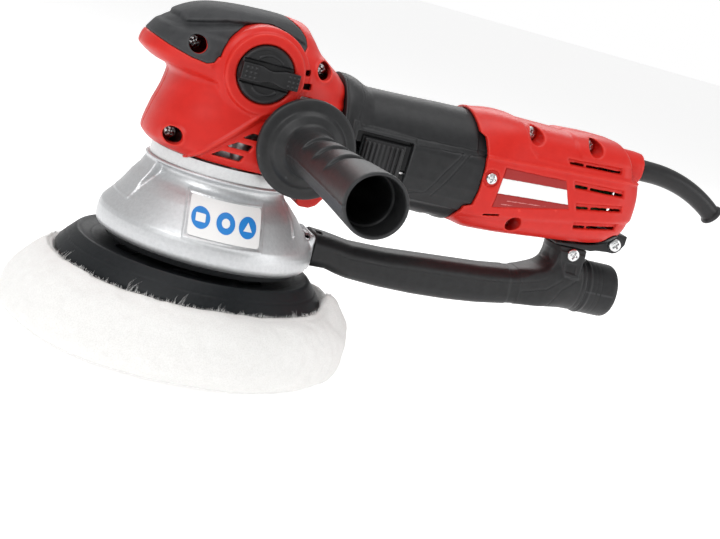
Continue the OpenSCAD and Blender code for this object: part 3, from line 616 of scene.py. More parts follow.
def set_stage():
    """A plain pale floor that runs into a white sky, with large lamps round the object."""
    floor = new_object("floor", [(-20, -20, -0.0005), (20, -20, -0.0005), (20, 20, -0.0005),
                                 (-20, 20, -0.0005)], [(0, 1, 2, 3)], smooth=False)
    f = Finish("studio_floor", 0.8, specular=0.05)
    cloud = f.pattern("Noise", 400, Detail=2.0)
    f.colour(f.tint((0.90, 0.90, 0.90), (0.92, 0.92, 0.92), cloud))
    f.shader.inputs["Emission Color"].default_value = (1, 1, 1, 1)
    f.shader.inputs["Emission Strength"].default_value = 0.42
    floor.data.materials.append(f.material)
    world = bpy.data.worlds.new("studio")
    world.use_nodes = True
    nodes, links = world.node_tree.nodes, world.node_tree.links
    sky = nodes["Background"]
    sky.inputs["Color"].default_value = (1, 1, 1, 1)
    strength = nodes.new("ShaderNodeMapRange")
    strength.inputs["To Min"].default_value = 0.56
    strength.inputs["To Max"].default_value = 1.0
    links.new(nodes.new("ShaderNodeLightPath").outputs["Is Camera Ray"], strength.inputs["Value"])
    links.new(strength.outputs["Result"], sky.inputs["Strength"])
    bpy.context.scene.world = world
    bpy.context.scene.view_settings.view_transform = "Standard"
    target = (0.05, 0, 0.12)
    add_light("key", (-0.9, -0.9, 1.1), target, (0.7, 0.7), 9.5)
    add_light("top", (0.1, 0.1, 1.5), target, (1.2, 0.8), 8)
    add_light("side", (1.4, -0.8, 0.5), target, (0.5, 1.0), 4.5)
    add_light("rear", (0.3, 1.5, 0.9), target, (1.4, 0.5), 6)


set_camera()
set_stage()


# ---------- head casing and soft grip ----------

# Height, front, back, half width and power of the head from its foot to its crown.
HEAD = [
    (106, -38, 44, 40, 2.1), (109, -44.5, 50, 43, 2.2), (113, -48, 51, 44.5, 2.3),
    (125, -46, 51, 44, 2.4), (138, -42.5, 53, 42, 2.5), (146, -41.5, 56, 40.5, 2.6),
    (150, -46, 57, 40, 2.6), (153.5, -56, 56.5, 39.5, 2.5), (157, -60, 55.8, 39, 2.5),
    (161, -59.3, 53.5, 38.3, 2.5), (166, -56.3, 49.5, 37, 2.5), (171, -52.3, 42.5, 35, 2.5),
    (176, -48, 35.5, 32.5, 2.4), (181, -41, 31.5, 29, 2.3), (185, -31.5, 27, 24, 2.2),
    (187.5, -17, 22.5, 17, 2.1), (188.5, -2, 16, 9, 2), (188.8, 5, 9, 2, 2)]
# The soft grip's lower edge seen from the side, from the nose to behind the knob's ring.
GRIP_EDGE = [(-70, 168.4), (-60, 164.6), (-49, 161), (-38, 158.2), (-30, 157.2), (-26.6, 158.6),
             (-25, 162), (0, 160), (17.5, 173), (20.3, 173.6), (22.4, 177), (21.5, 181),
             (18.5, 184.6), (13, 188), (12, 196), (-70, 196)]
# Casing screws: X, Z, and how far from the middle each head sits.
HEAD_SCREWS = [(-36, 165.2, 18), (-36.5, 116.2, 16), (34, 167.3, 16)]
HEAD_WELL_R = 4.6
HEAD_WALL = 3.2
HEAD_FLOOR = 107.2
KNOB_R = 15


def knob_ring(block):
    """The stepped ring round the mode knob, on the left side only."""
    return block.turn([
        (0, -24), (24.8, -24), (24.6, -36.5), (24.1, -38.6), (22.6, -39.8), (21.4, -40.6),
        (21.0, -42.6), (20.3, -43.5), (16.3, -43.5), (15.5, -42.7), (15.4, -39.8), (0, -39.8)],
        (0, 0, KNOB_Z), "y")


def head_surface(block):
    """The head's outer form with its finger groove, lip, facet and ridge, but no holes."""
    field = block.solid(flat_rings(HEAD))
    groove = block.side([(-75, 172), (-52, 176.5), (-44, 177.8), (-42, 175.6), (-23, 180.9),
                         (-7, 183.4), (10, 182.6), (21, 179.4), (23, 176), (14, 178),
                         (0, 181), (-19.6, 176), (-37, 171), (-51, 166.8), (-75, 167)])
    field = press(field, groove, 2.6 * ease((block.x + 54) / 14), 2.6)
    lip = block.side([(-75, 150.2), (-44, 149.2), (-19, 147.4), (-8, 147), (-6, 160), (-20, 172),
                      (-75, 172)])
    field = press(field, lip, -1.3 * ease((block.x + 58) / 12), 2.4)
    flare = block.side([(-70, 160), (-49, 157), (-38, 154), (-26, 153), (-24, 166), (-38, 169),
                        (-52, 166), (-70, 168)])
    field = press(field, flare, -0.8 * ease((block.x + 56) / 12), 3.5)
    facet = block.side([(-27, 100), (-25.5, 108), (3.5, 136.6), (14, 140), (34, 141), (34, 100)])
    field = press(field, facet, 1.6, 1.6)
    ridge = block.side([(-28, 106), (-25, 109.8), (2.6, 137.6), (6, 141)], closed=False) - 1.5
    field = press(field, ridge, -0.9, 1.4)
    shoulder = block.side([(24, 195), (26, 182), (34, 172), (45, 163), (60, 157), (60, 195)])
    return press(field, shoulder, 0.9, 3.0)


def screw_wells(block, field):
    """A raised rim and a deep round pocket at each of the head's screws."""
    for x, z, depth in HEAD_SCREWS:
        field = press(field, block.rod((x, z), "y", HEAD_WELL_R + 2.4, high=-12), -0.7, 2.2)
        field = cut(field, block.rod((x, z), "y", HEAD_WELL_R, high=-depth), 0.7)
        field = cut(field, block.rod((x, z), "y", PILOT_R, high=22), 0.3)
    return field


def head_casing(block, surface):
    """The red shell with its knob ring, handle bosses and lug, both halves in one field."""
    field = join(surface, overlap(knob_ring(block), block.y + 24), 2.2)
    for side in (-1, 1):
        boss = block.rod((HANDLE_X, HANDLE_Z), "y", 16, *sorted((20 * side, HANDLE_FACE * -side)))
        field = join(field, boss, 3.0)
    lug = meet(block.side([(42.8, 110), (42.8, 92.4), (45, 90.8), (50.5, 91), (54.4, 93.2),
                           (57.4, 97.8), (57.4, 110)]), np.abs(block.y) - 12.9, 1.0)
    field = join(field, lug, 2.0)
    grip = overlap(block.side(GRIP_EDGE), -(surface + 2.25))
    grip = overlap(grip, -overlap(block.rod((0, KNOB_Z), "y", 24.2), block.y + 20))
    field = cut(field, grip - 0.12, 0.35)
    return head_holes(block, field, surface)


def head_holes(block, field, surface):
    """Hollows the shell and cuts its wells, vents, bores and the bell's groove."""
    field = cut(field, overlap(surface + HEAD_WALL, HEAD_FLOOR - block.z), 0.5)
    field = screw_wells(block, field)
    for i in range(3):
        low, high = 112.2 + 6.2 * i, 115.8 + 6.2 * i
        vent = block.side([(-17 + 7 * i, low + 0.2), (-1.4 + 3.4 * i, low), (0.2 + 3.4 * i, high - 0.4),
                           (-12 + 7 * i, high)])
        field = cut(field, overlap(vent, 25 - np.abs(block.y)), 0.5)
    for i in range(3):
        vent = block.box((20.9 + 0.6 * i, -70, 163.4 - 7 * i), (25.3 + 1.8 * i, 70, 166.6 - 7 * i), 0.4)
        field = cut(field, overlap(vent, 22 - np.abs(block.y)), 0.5)
    field = cut(field, block.rod((0, 0), "z", 40.3, 90, 107.3), 0.5)
    field = cut(field, block.rod((0, MOTOR_Z), "x", 34.8, MOTOR_FRONT, 80), 0.4)
    field = cut(field, block.rod((HANDLE_X, HANDLE_Z), "y", 4.3), 0.5)
    field = cut(field, block.rod((0, KNOB_Z), "y", 5.1, -60, 0), 0.3)
    return carve(field, np.abs(block.z - 107.6) - 0.35, 0.5, 0.4)


def build_head():
    """Both red halves, and the soft grip let into them."""
    block = Block((-64, -50, 88), (62, 50, 192), 0.62)
    surface = head_surface(block)
    casing = head_casing(block, surface)
    halves(block, seam_cut(block, casing), "head")
    grip = overlap(meet(block.side(GRIP_EDGE), surface - 0.12, 0.8), -(surface + 2.0))
    ring = overlap(block.rod((0, KNOB_Z), "y", 24.3), block.y + 20)
    grip = cut(grip, ring, 0.6)
    x, z, _ = HEAD_SCREWS[0]
    grip = cut(grip, block.rod((x, z), "y", HEAD_WELL_R, high=0), 0.8)
    cast(block, grip, "head_grip_skin", "housing", "soft_grip", "head_soft_grip")


build_head()


# ---------- mode knob and slide switch ----------

def build_knob():
    """A disc with a waisted bar across it, stippled finger pads and curved ribs."""
    block = Block((-18, -51, 141), (20, -38, 177), 0.34)
    disc = block.turn([(0, -39.9), (KNOB_R, -39.9), (KNOB_R, -43.2), (14.2, -44.3), (13.4, -44.5),
                       (12.6, -44.1), (0, -44.1)], (0, 0, KNOB_Z), "y")
    up = block.z - KNOB_Z
    half = 4.5 - 1.5 * ease(1 - np.abs(block.x - 2.5) / 7.5)
    trough = overlap(np.abs(up) - 6.2, block.y + 42.6, np.abs(block.x - 2) - 15)
    field = cut(disc, trough, 0.8)
    top = -47.9 + 0.9 * ease(1 - np.abs(block.x - 2) / 8)
    bar = overlap(np.abs(up) - half, top - block.y, np.abs(block.x - 1.7) - 15.7, block.y + 40.2)
    field = join(field, bar + 0.25, 0.9)
    for lift in (10.2, -10.2):
        bow = np.hypot(block.x - 0.6, up - lift + math.copysign(9, lift)) - 9
        rib = overlap(np.abs(bow) - 0.45, np.abs(block.x - 0.6) - 6.4,
                      -math.copysign(1, lift) * (up - lift) - 3.2)
        field = join(field, overlap(rib, block.y + 43, field - 0.5), 0.5)
    for x in (-11.4, -9, -6.6, 11.6, 14, 16.2):
        for z in (-2.4, 0, 2.4):
            pip = np.sqrt((block.x - x) ** 2 + (up - z) ** 2 + (block.y + 47.75) ** 2) - 0.55
            field = join(field, pip, 0.3)
    cast(block, field, "mode_knob_moulding", "mode_selector", "knob_plastic", "mode_knob")


def build_slide_button():
    """The ribbed paddle of the power switch, with a raised rim and a dished middle."""
    low, high = node_box("slide_button")
    block = Block((low[0] - 1, low[1] - 1, low[2] - 1), (high[0] + 1, high[1] + 2, high[2] + 1), 0.34)
    x0, x1 = low[0], low[0] + 24
    z0, z1 = MOTOR_Z - 13.6, MOTOR_Z + 6.6
    field = block.box((x0, -32.8, z0), (x1, -29.9, z1), 0.9)
    middle_x = (x0 + x1) / 2
    for i in range(8):
        rib = block.box((x0 + 1.6 + 2.75 * i, -34.3, z0 + 2), (x0 + 3.0 + 2.75 * i, -32, z1 - 1.6), 0.6)
        dish = block.y + 34.3 - 1.1 * ease(1 - np.abs(x0 + 2.3 + 2.75 * i - middle_x) / 11)
        field = join(field, meet(rib, -dish, 0.4), 0.5)
    tab = block.box((84, -33, MOTOR_Z - 4), (88, -29.2, MOTOR_Z + 2), 0.4)
    field = join(field, overlap(tab, block.y + 29.4), 0.4)
    cast(block, field, "slide_button_moulding", "power_switch", "knob_plastic", "slide_button")


build_knob()
build_slide_button()


# ---------- bell ----------

# Radius and height of the bell's outside, from its rim to its neck.
BELL = [(55.6, 56), (57.6, 56.5), (59.2, 58), (59.9, 60), (60, 64), (59.7, 67), (58.9, 69.6),
        (57, 72.2), (53.4, 76.6), (47.6, 83.4), (43.4, 87.4), (39.8, 90.6), (37.6, 93.2),
        (36.8, 95.4), (36.9, 97.0), (38.2, 98.2), (40.8, 98.6), (41.9, 99.2), (42, 100.4),
        (20, 100.5)]
BELL_INSIDE = [(20, 97.5), (33.5, 97.5), (33.8, 94), (36, 90.4), (40.4, 86.6), (44.9, 82),
               (50.5, 75.6), (54.6, 70.6), (56.4, 67), (56.8, 63), (56, 59.6), (53.2, 57.4),
               (53, 56)]
PANEL_ANGLE = 93.5         # how far round the bell the sticker's middle is, clockwise in degrees


def bell_shell(block, radius, angle):
    """The turned shell with the sticker's panel, two casting fins and the parting line."""
    field = block.turn(BELL + BELL_INSIDE, (0, 0, 0), "z", closed=True)
    across = radius * np.radians(angle + PANEL_ANGLE)
    panel = outline(across, block.z, [(-20.5, 69.8), (22.5, 69.8), (22.5, 91.2), (-20.5, 91.2)]) - 1
    outer = overlap(panel, 38 - radius)
    field = press(field, outer, -0.55, 1.2)
    field = press(field, outer + 1.7, 0.5, 0.5)
    fin = overlap(np.abs(radius * np.radians(angle + 30 + (90 - block.z) * 0.9)) - 0.7,
                  78 - block.z, block.z - 93)
    field = press(field, fin - 0.9, -1.3, 1.3)
    ridge = overlap(np.abs(radius * np.radians(angle + 158)) - 0.5, 76.5 - block.z, block.z - 90)
    field = press(field, ridge - 0.8, -0.5, 1.0)
    parting = overlap(np.abs(block.z - 78.4 - 0.02 * block.x) - 0.3, 150 - np.abs(angle))
    return press(field, parting - 0.6, -0.3, 0.8)


def bell_mounts(block, field, radius, angle):
    """Adds the tube's boss with its gusset behind, and the raised facet in front."""
    boss = block.box((44, -15, 57), (59.5, 15, 77), 2.4)
    boss = overlap(boss, 56.3 - radius + 1.2 * (block.z > 74))
    gusset = block.side([(40, 88), (47, 79), (55.5, 75), (58.5, 66), (40, 66)])
    boss = join(boss, overlap(gusset, np.abs(block.y) - 3.2, 40 - radius), 3.5)
    inside = block.turn([(0, 50)] + BELL_INSIDE[::-1] + [(0, 97.5)], (0, 0, 0), "z")
    field = join(field, overlap(boss, -inside), 3.0)
    facet = block.turn([(0, 76.8), (53, 76.8), (52.6, 77.6), (47.3, 87.2), (43.5, 92.7), (41.1, 98.2),
                        (0, 98.2)], (0, 0, 0), "z")
    front = radius * np.radians(158 - np.abs(angle))
    return join(field, overlap(meet(facet, front, 1.2), -inside), 1.2)


def build_bell():
    """The silver casting over the pad, open below."""
    block = Block((-62, -62, 54.5), (66, 62, 102), 0.62)
    angle = np.degrees(np.arctan2(block.y, block.x))
    radius = np.hypot(block.x, block.y)
    field = bell_mounts(block, bell_shell(block, radius, angle), radius, angle)
    field = cut(field, block.box((40, -11.5, 60), (70, 11.5, 74), 1.5), 0.6)
    field = cut(field, block.rod((0, -29.4), "z", 2.5, 90, 110), 0.3)
    for place in arc((0, 0), 28.2, 45, 315, 4):
        field = cut(field, block.rod(place, "z", 2.3, 90, 110), 0.3)
    cast(block, field, "bell_casting", "housing", "cast_aluminium", "bell_shroud")


def bell_radius(z):
    """The bell's outer radius at a height below its neck."""
    radii, heights = np.array(BELL[:13], float).T
    return float(np.interp(z, heights, radii))


def on_bell(across, z, lift):
    """A point on the bell's sticker panel, lifted off the paint."""
    base = bell_radius(z)
    turn = math.radians(-PANEL_ANGLE) + across / base
    out = base + lift
    return Vector((out * math.cos(turn), out * math.sin(turn), z + lift * 0.75)) * MM


def bell_patch(name, points, lift, material, steps=2):
    """A thin sticker shape laid on the bell, from an outline in across and height."""
    count = len(points)
    centre = np.mean(points, 0)
    layers, faces = [], []
    for k in range(steps + 1):
        ring = centre + (np.array(points) - centre) * (1 - k / (steps + 1))
        layers += [on_bell(a, z, lift) for a, z in ring]
    hub = len(layers)
    layers.append(on_bell(*centre, lift))
    for k in range(steps):
        for i in range(count):
            j = (i + 1) % count
            faces.append((k * count + i, k * count + j, (k + 1) * count + j, (k + 1) * count + i))
    faces += [(steps * count + i, steps * count + (i + 1) % count, hub) for i in range(count)]
    under = len(layers)
    layers += [on_bell(a, z, lift - 0.14) for a, z in points]
    faces += [(i, under + i, under + (i + 1) % count, (i + 1) % count) for i in range(count)]
    faces.append(tuple(under + i for i in reversed(range(count))))
    piece = new_object(name, [tuple(p) for p in layers], faces, smooth=False)
    piece.data.materials.append(material)
    return piece


def rounded(x0, x1, z0, z1, radius):
    """A rectangle with round corners."""
    return (arc((x1 - radius, z0 + radius), radius, -90, 0, 5)
            + arc((x1 - radius, z1 - radius), radius, 0, 90, 5)
            + arc((x0 + radius, z1 - radius), radius, 90, 180, 5)
            + arc((x0 + radius, z0 + radius), radius, 180, 270, 5))


def fine(points, gap=1.6):
    """The same closed outline with extra points, so that it can bend."""
    out = []
    for a, b in zip(points, points[1:] + points[:1]):
        steps = max(1, int(math.hypot(b[0] - a[0], b[1] - a[1]) / gap))
        out += [(a[0] + (b[0] - a[0]) * k / steps, a[1] + (b[1] - a[1]) * k / steps)
                for k in range(steps)]
    return out


def build_sticker():
    """A blank white sticker with three plain blue discs and a simple white shape on each."""
    white = FINISHES["white_label"]
    blue = paper_finish("blue_print", (0.02, 0.22, 0.62))
    body = bell_patch("bell_sticker_film", fine(rounded(-18.6, 20.6, 71.4, 89.6, 1.6)), 0.42, white, 8)
    dress(body, "housing", white, "white_label", "bell_sticker")
    for i, across in enumerate((-12.4, 0.9, 13.0)):
        disc = bell_patch(f"sticker_disc_{i + 1}", arc((across, 80.1), 5.0, 0, 348, 30), 0.56, blue, 4)
        dress(disc, "housing", blue, "white_label")
        inner = [rounded(-2.6, 2.6, -1.9, 1.9, 0.5), arc((0, 0), 2.2, 0, 330, 12),
                 [(-2.4, -1.8), (2.4, -1.8), (0, 2.4)]][i]
        mark = bell_patch(f"sticker_mark_{i + 1}", [(across + a, 80.1 + z) for a, z in fine(inner, 0.9)],
                          0.7, white, 2)
        dress(mark, "housing", white, "white_label")


build_bell()
build_sticker()


# ---------- motor housing ----------

# The tail's front edge seen from the side, closed round the whole tail.
TAIL_EDGE = [(128.7, 175), (128.9, 166), (129.9, 162), (131.2, 156.6), (134.6, 154.7),
             (136.3, 147.5), (137.1, 138), (137.3, 126), (136.5, 116.6), (132.6, 114.7),
             (130.4, 103.4), (129.6, 90), (270, 90), (270, 175)]
LINK_TURN = math.radians(22)


def in_link(block):
    """Y and Z measured in the switch link's own frame, which is turned round the motor."""
    rise = block.z - MOTOR_Z
    return (block.y * math.cos(LINK_TURN) + rise * math.sin(LINK_TURN),
            rise * math.cos(LINK_TURN) - block.y * math.sin(LINK_TURN))


def link_slot(block):
    """The slot that the link slides in, with the opening for the button's tab."""
    across, up = in_link(block)
    slot = overlap(np.abs(across + 29.5) - 1, np.abs(up) - 4.2, 58 - block.x, block.x - 168)
    tab = overlap(across + 29, np.abs(up) - 4.2, np.abs(block.x - 83.5) - 5.5)
    return np.minimum(slot, tab)


def motor_form(block):
    """The turned barrel with its flat cheeks and the lower edge that they end in."""
    # Radius and place along the axis, from the round flange over the cone to the tail.
    barrel = [(34.4, MOTOR_FRONT + 0.1), (34.35, 55.4), (33.9, 58.2), (33, 61.2), (31.6, 64.2),
              (30.7, 66.4), (30.2, 69), (30.5, 80), (31, 95), (31.7, 110), (32.3, 128), (32.3, 131),
              (31.6, 131.2), (31.6, MOTOR_END)]
    field = block.turn([(0, barrel[0][1])] + barrel + [(0, MOTOR_END)], (0, 0, MOTOR_Z), "x")
    band = overlap(block.cross([(-8, 152), (-20, 146.6), (-29.6, 145.4), (-32.2, 142.4),
                                (-32.9, 139), (-32.9, 132), (-32.6, 124), (-30.8, 117), (-26, 111),
                                (-18, 107.6), (-8, 112)]), 57 - block.x)
    zone = block.side(TAIL_EDGE)
    far = overlap(block.cross([(8, 152), (20, 146.6), (29.6, 145.4), (31.8, 142.4), (32.4, 136),
                               (32.2, 124), (30.2, 117), (26, 111), (18, 107.6), (8, 112)]),
                  66 - block.x)
    facet = np.minimum(band, far) + 0.3
    return join(field, overlap(facet, 0.4 - zone), 0.7)


def motor_relief(block, field):
    """The switch's window and the lines, scoops and creases of the moulding."""
    frame_edge = block.side([(56, 147.4), (60, 147), (61.4, 144.5), (94, 144.9), (92.8, 115), (56, 115)])
    field = press(field, overlap(frame_edge, block.y + 24), -0.7, 0.7)
    window = block.box((60.1, -40, MOTOR_Z - 14.3), (92.7, -29.4, MOTOR_Z + 9.3), 0.8)
    field = cut(field, window, 0.5)
    for low, high in (((59.6, -40, MOTOR_Z - 14.3), (64.4, -28, MOTOR_Z + 9.3)),
                      ((60.1, -40, MOTOR_Z + 6.9), (92.3, -28.1, MOTOR_Z + 9.3))):
        field = cut(field, block.box(low, high, 0.4), 0.3)
    lines = ([(122.9, 142.9), (114.6, 130.7), (107.6, 117.5), (96, 113.4)],
             [(95.6, 141.7), (122.9, 142.9)],
             [(137, 144.4), (127.4, 143.3), (125.3, 141.5), (119.2, 129.7), (111.5, 116)])
    side_only = 22 - np.abs(block.y)
    for points in lines:
        groove = overlap(block.side(points, closed=False) - 0.5, side_only)
        field = press(field, groove, 0.55, 0.45)
    parting = block.side([(61.4, 144.5), (93.3, 144.9), (137, 146.6)], closed=False) - 0.45
    field = press(field, overlap(parting, side_only), 0.4, 0.4)
    crease = block.side([(62.5, 171), (62.5, 158), (60.3, 152), (58.2, 145)], closed=False) - 0.4
    field = press(field, overlap(crease, block.y - 12), 0.3, 0.4)
    for x in (104, 122):
        scoop = np.sqrt(((block.x - x) / 1.6) ** 2 + (block.z - MOTOR_Z + 31) ** 2) - 3
        field = press(field, overlap(scoop, np.abs(block.y) - 14), 0.5, 1.5)
    return field


def build_motor():
    """The black housing from the flange behind the head to inside the tail."""
    block = Block((48, -37, 95), (154, 37, 171), 0.52)
    field = motor_relief(block, motor_form(block))
    field = cut(field, block.rod((0, MOTOR_Z), "x", 27.7, MOTOR_FRONT + 4, 160), 0.4)
    field = cut(field, block.rod((0, MOTOR_Z), "x", 26, 40, 60), 0.4)
    field = cut(field, link_slot(block), 0.2)
    field = cut(field, block.rod((142, 133.7), "y", 1.9, high=-20), 0.2)
    seam = overlap(np.abs(block.x - MOTOR_FRONT - 1.6) - 0.35, -field - 0.5)
    field = cut(field, seam, 0.3)
    cast(block, field, "motor_shell", "housing", "black_plastic", "motor_housing")


build_motor()


# ---------- tail casing and label ----------

# Place, underside, top, half width and power of the tail from front to back.
TAIL = [
    (116, 99.5, 166.5, 34, 2), (132, 98.4, 167, 34.2, 2.2), (142, 98.6, 168.2, 34.2, 2.8),
    (150, 99.2, 168.7, 34, 3.2), (162, 100, 168.2, 33, 3.5), (186, 102.2, 168, 32, 3.6),
    (211, 104.6, 169.2, 31, 3.6), (224, 106.2, 169, 30.2, 3.4), (229, 107.4, 167.4, 29.2, 3.3),
    (233, 108.8, 163, 27.8, 3.2), (236.6, 110.6, 158, 26, 3), (239.6, 113, 151.5, 23.4, 2.8),
    (241.6, 116, 144.5, 19.5, 2.6), (242.6, 119, 138, 14.5, 2.4)]
TAIL_SCREWS = [(165.2, 161.8, 13), (203.4, 163.1, 12), (165.7, 110.7, 14)]
BRUSH_SCREW = (142, 133.7, 33)
CLAMP_SCREWS = [(216.2, 98.4, 12.5), (240.4, 109.9, 13)]
TAIL_WALL = 2.9
SLEEVE_Z = 155.6
SLEEVE_BORE = 6.25
DIAL_X, DIAL_Z = middle("speed_dial")[[0, 2]]
# The lower rear corner of the tail, where the clamp bracket shows through.
NOTCH = [(226.6, 90), (227.4, 109.6), (229.8, 114.6), (232.2, 116.7), (262, 117.8), (262, 90)]
LABEL = [(148.9, 141.5), (187.8, 142.2), (194.6, 126.9), (147.5, 118.1)]
# Each cooling slot's corners: upper front, lower front, lower back and upper back.
TAIL_VENTS = [
    [(186.3, 154.3), (188.4, 151.4), (222.6, 152.8), (221.8, 156.1)],
    [(193.1, 143.1), (194.9, 139.2), (227.2, 140.2), (226.1, 144.2)],
    [(198.3, 130.9), (199.8, 127.5), (229, 131.7), (228.3, 135.2)],
    [(201.9, 119.6), (202.8, 115.9), (229.9, 120.2), (230.2, 124.1)]]


# Regions of the tail that sink (or stand out, if negative): depth, fade and outline.
TAIL_RELIEF = {
    "cap": (0.9, 2.4, [(156.6, 180), (156.2, 166.8), (157.6, 162), (160.5, 155), (166, 150),
                       (300, 149), (300, 180)]),
    "rear": (-0.8, 2.5, [(189, 180), (190, 160), (194, 156), (300, 156), (300, 180)]),
    "wrap": (1.6, 1.4, [(222, 180), (223, 168), (226.6, 161), (229.4, 154), (230.4, 149.5),
                        (300, 149.5), (300, 180)]),
    "belt": (-0.7, 0.9, [(120, 143.2), (137, 143.7), (188, 146.2), (224, 147.9), (262, 149),
                         (262, 151.6), (230, 150.8), (223.7, 150.8), (188, 149), (137, 146.5),
                         (120, 146)]),
    "underside": (1.3, 3.2, [(100, 107), (136, 111), (144.2, 112.4), (199.8, 121.3),
                             (232.8, 126.9), (262, 130.6), (262, 80), (100, 80)]),
    "corner": (1.5, 4.0, [(126, 108), (133, 107), (142, 101), (150, 90), (126, 90)])}


def tail_surface(block):
    """The tail's outer form with its relief and cord boss, but no holes."""
    field = block.solid(cross_rings(TAIL))
    for depth, fade, points in TAIL_RELIEF.values():
        field = press(field, block.side(points), depth, fade)
    boss = block.turn([(0, 222), (10, 222), (9.9, 241.5), (9.4, 244.6), (8, 246), (0, 246)],
                      (0, 0, SLEEVE_Z), "x")
    return join(field, boss, 2.2)


def tail_holes(block, field, surface):
    """Cuts the slots, the screw wells and the label's seat. Depths are below the surface."""
    label = overlap(block.side(LABEL) - 0.25, block.y)
    field = carve(field, label, 0.45, 0.25)
    far_out = 18 - np.abs(block.y)
    for corners in TAIL_VENTS:
        span = overlap(block.side(corners), far_out)
        field = press(field, span - 0.9, 0.4, 0.6)
        field = cut(field, overlap(span, -surface - 1.6), 0.3)
        (front, _), (x0, z0), (x1, z1), (_, top) = corners
        rise = block.z - z0 - (z1 - z0) * (block.x - x0) / (x1 - x0)
        slit = overlap(span + 0.4, rise - 0.45 * (top - z1))
        rib = np.abs(block.x - front - 0.32 * (x1 - front)) - 0.8
        field = cut(field, overlap(slit, -rib), 0.2)
    slit = block.side([(144.6, 113.1), (154, 115), (154, 113.9), (144.6, 112)])
    field = carve(field, overlap(slit, 20 - np.abs(block.y)), 1.6, 0.2)
    for x, z, depth in TAIL_SCREWS:
        field = cut(field, block.rod((x, z), "y", 4.5, high=-depth), 1.1)
        field = cut(field, block.rod((x, z), "y", PILOT_R, high=20), 0.2)
    x, z, depth = BRUSH_SCREW
    field = cut(field, block.rod((x, z), "y", 4.9, high=-depth), 0.6)
    field = cut(field, block.rod((x, z), "y", 2.2, high=0), 0.2)
    return field


def tail_casing(block):
    """The tail's shell with its inner frame and bosses, both halves in one field."""
    surface = tail_surface(block)
    field = cut(surface, surface + TAIL_WALL, 0.3)
    frame_wall = overlap(161 - block.x, block.x - 167, surface + 1.5)
    field = join(field, frame_wall, 0.8)
    for x, z, _ in TAIL_SCREWS:
        field = join(field, overlap(block.rod((x, z), "y", 5.4), surface + 1.6), 1.0)
    field = join(field, block.rod((0, SLEEVE_Z), "x", 9.6, 233, 246), 0.8)
    field = tail_holes(block, field, surface)
    for radius, front, end in ((32.4, 100, 131.2), (31.7, 100, MOTOR_END + 0.1), (11, 150, 168)):
        field = cut(field, block.rod((0, MOTOR_Z), "x", radius, front, end), 0.2)
    for z in (MOTOR_Z - 26, MOTOR_Z + 17):
        field = cut(field, block.box((155, -12, z), (170, 12, z + 9)), 0.3)
    field = cut(field, link_slot(block) - 0.2, 0.1)
    field = cut(field, block.rod((0, SLEEVE_Z), "x", SLEEVE_BORE, 225, 270), 0.4)
    field = cut(field, block.rod((0, SLEEVE_Z), "x", 8, 238, 241), 0.2)     # the sleeve's collar
    field = cut(field, block.side(NOTCH), 0.3)
    dial = np.minimum(block.box((DIAL_X - 1, 8.2, DIAL_Z - 14), (270, 17.8, DIAL_Z + 14), 1),
                      block.box((238.5, 5, DIAL_Z - 15), (270, 21, DIAL_Z + 15), 3))
    field = cut(field, dial, 0.5)
    return meet(field, block.side(TAIL_EDGE), 0.4)


def build_tail():
    block = Block((126, -36, 96), (248, 36, 172), 0.6)
    halves(block, seam_cut(block, tail_casing(block)), "tail")


def build_label():
    """A printed label in three bands: dark red above and below, and white between them."""
    block = Block((144, -36, 115), (198, -26, 145), 0.3)
    surface = tail_surface(block)
    dark = paper_finish("dark_red_print", (0.33, 0.014, 0.012))
    pale = paper_finish("pale_print", (0.62, 0.20, 0.19))
    film = overlap(np.abs(surface + 0.32) - 0.3, block.side(LABEL) + 0.15)
    # Heights over the white band's lower and upper edge.
    low = block.z - 126.6 - 0.058 * (block.x - 149)
    high = block.z - 135.5 - 0.0465 * (block.x - 149.5)
    white = meet(meet(film, high, 0.1), -low, 0.1)
    cast(block, white, "label_band_white", "housing", "white_label", "label_plate")
    for name, part in (("upper", meet(film, 0.1 - high, 0.1)), ("lower", meet(film, low + 0.1, 0.1))):
        piece = skin(block, part, "label_band_" + name)
        dress(piece, "housing", dark, "white_label")
    bars = [overlap(np.abs(block.z - place - 0.07 * (block.x - 165)) - 0.32,
                    np.abs(block.x - (x0 + x1) / 2) - (x1 - x0) / 2)
            for place, x0, x1 in ((124.2, 155, 183), (121.9, 152, 180))]
    lines = overlap(np.abs(surface + 0.06) - 0.16, np.minimum(*bars), block.side(LABEL) + 1.2)
    piece = skin(block, lines, "label_rules")
    dress(piece, "housing", pale, "white_label")


build_tail()
build_label()


# ---------- screws ----------

def screw_head(head_r):
    """The points and faces of a pan head at the origin, with a cross recess facing -Y."""
    block = Block((-5, -3.4, -5), (5, 1.4, 5), 0.2)
    head = block.turn([(0, 0.1), (head_r, 0.1), (head_r, -1.0), (head_r - 0.3, -1.7),
                       (head_r - 1, -2.15), (head_r - 2.1, -2.4), (0, -2.45)], (0, 0, 0), "y")
    head = join(head, block.rod((0, 0), "y", 2, -0.3, 0.8), 0.2)
    blade = np.minimum(overlap(np.abs(block.x) - 0.5, np.abs(block.z) - 2.3),
                       overlap(np.abs(block.z) - 0.5, np.abs(block.x) - 2.3))
    pit = np.sqrt(block.x ** 2 + (block.y + 3.3) ** 2 + block.z ** 2) - 2.9
    head = cut(head, overlap(blade, pit), 0.15)
    head = cut(head, block.rod((0, 0), "y", 0.9, high=-1.2), 0.2)
    model = skin(block, head, "screw_head")
    points = np.array([v.co for v in model.data.vertices]) / MM
    faces = [list(p.vertices) for p in model.data.polygons]
    bpy.data.objects.remove(model)
    return points, faces


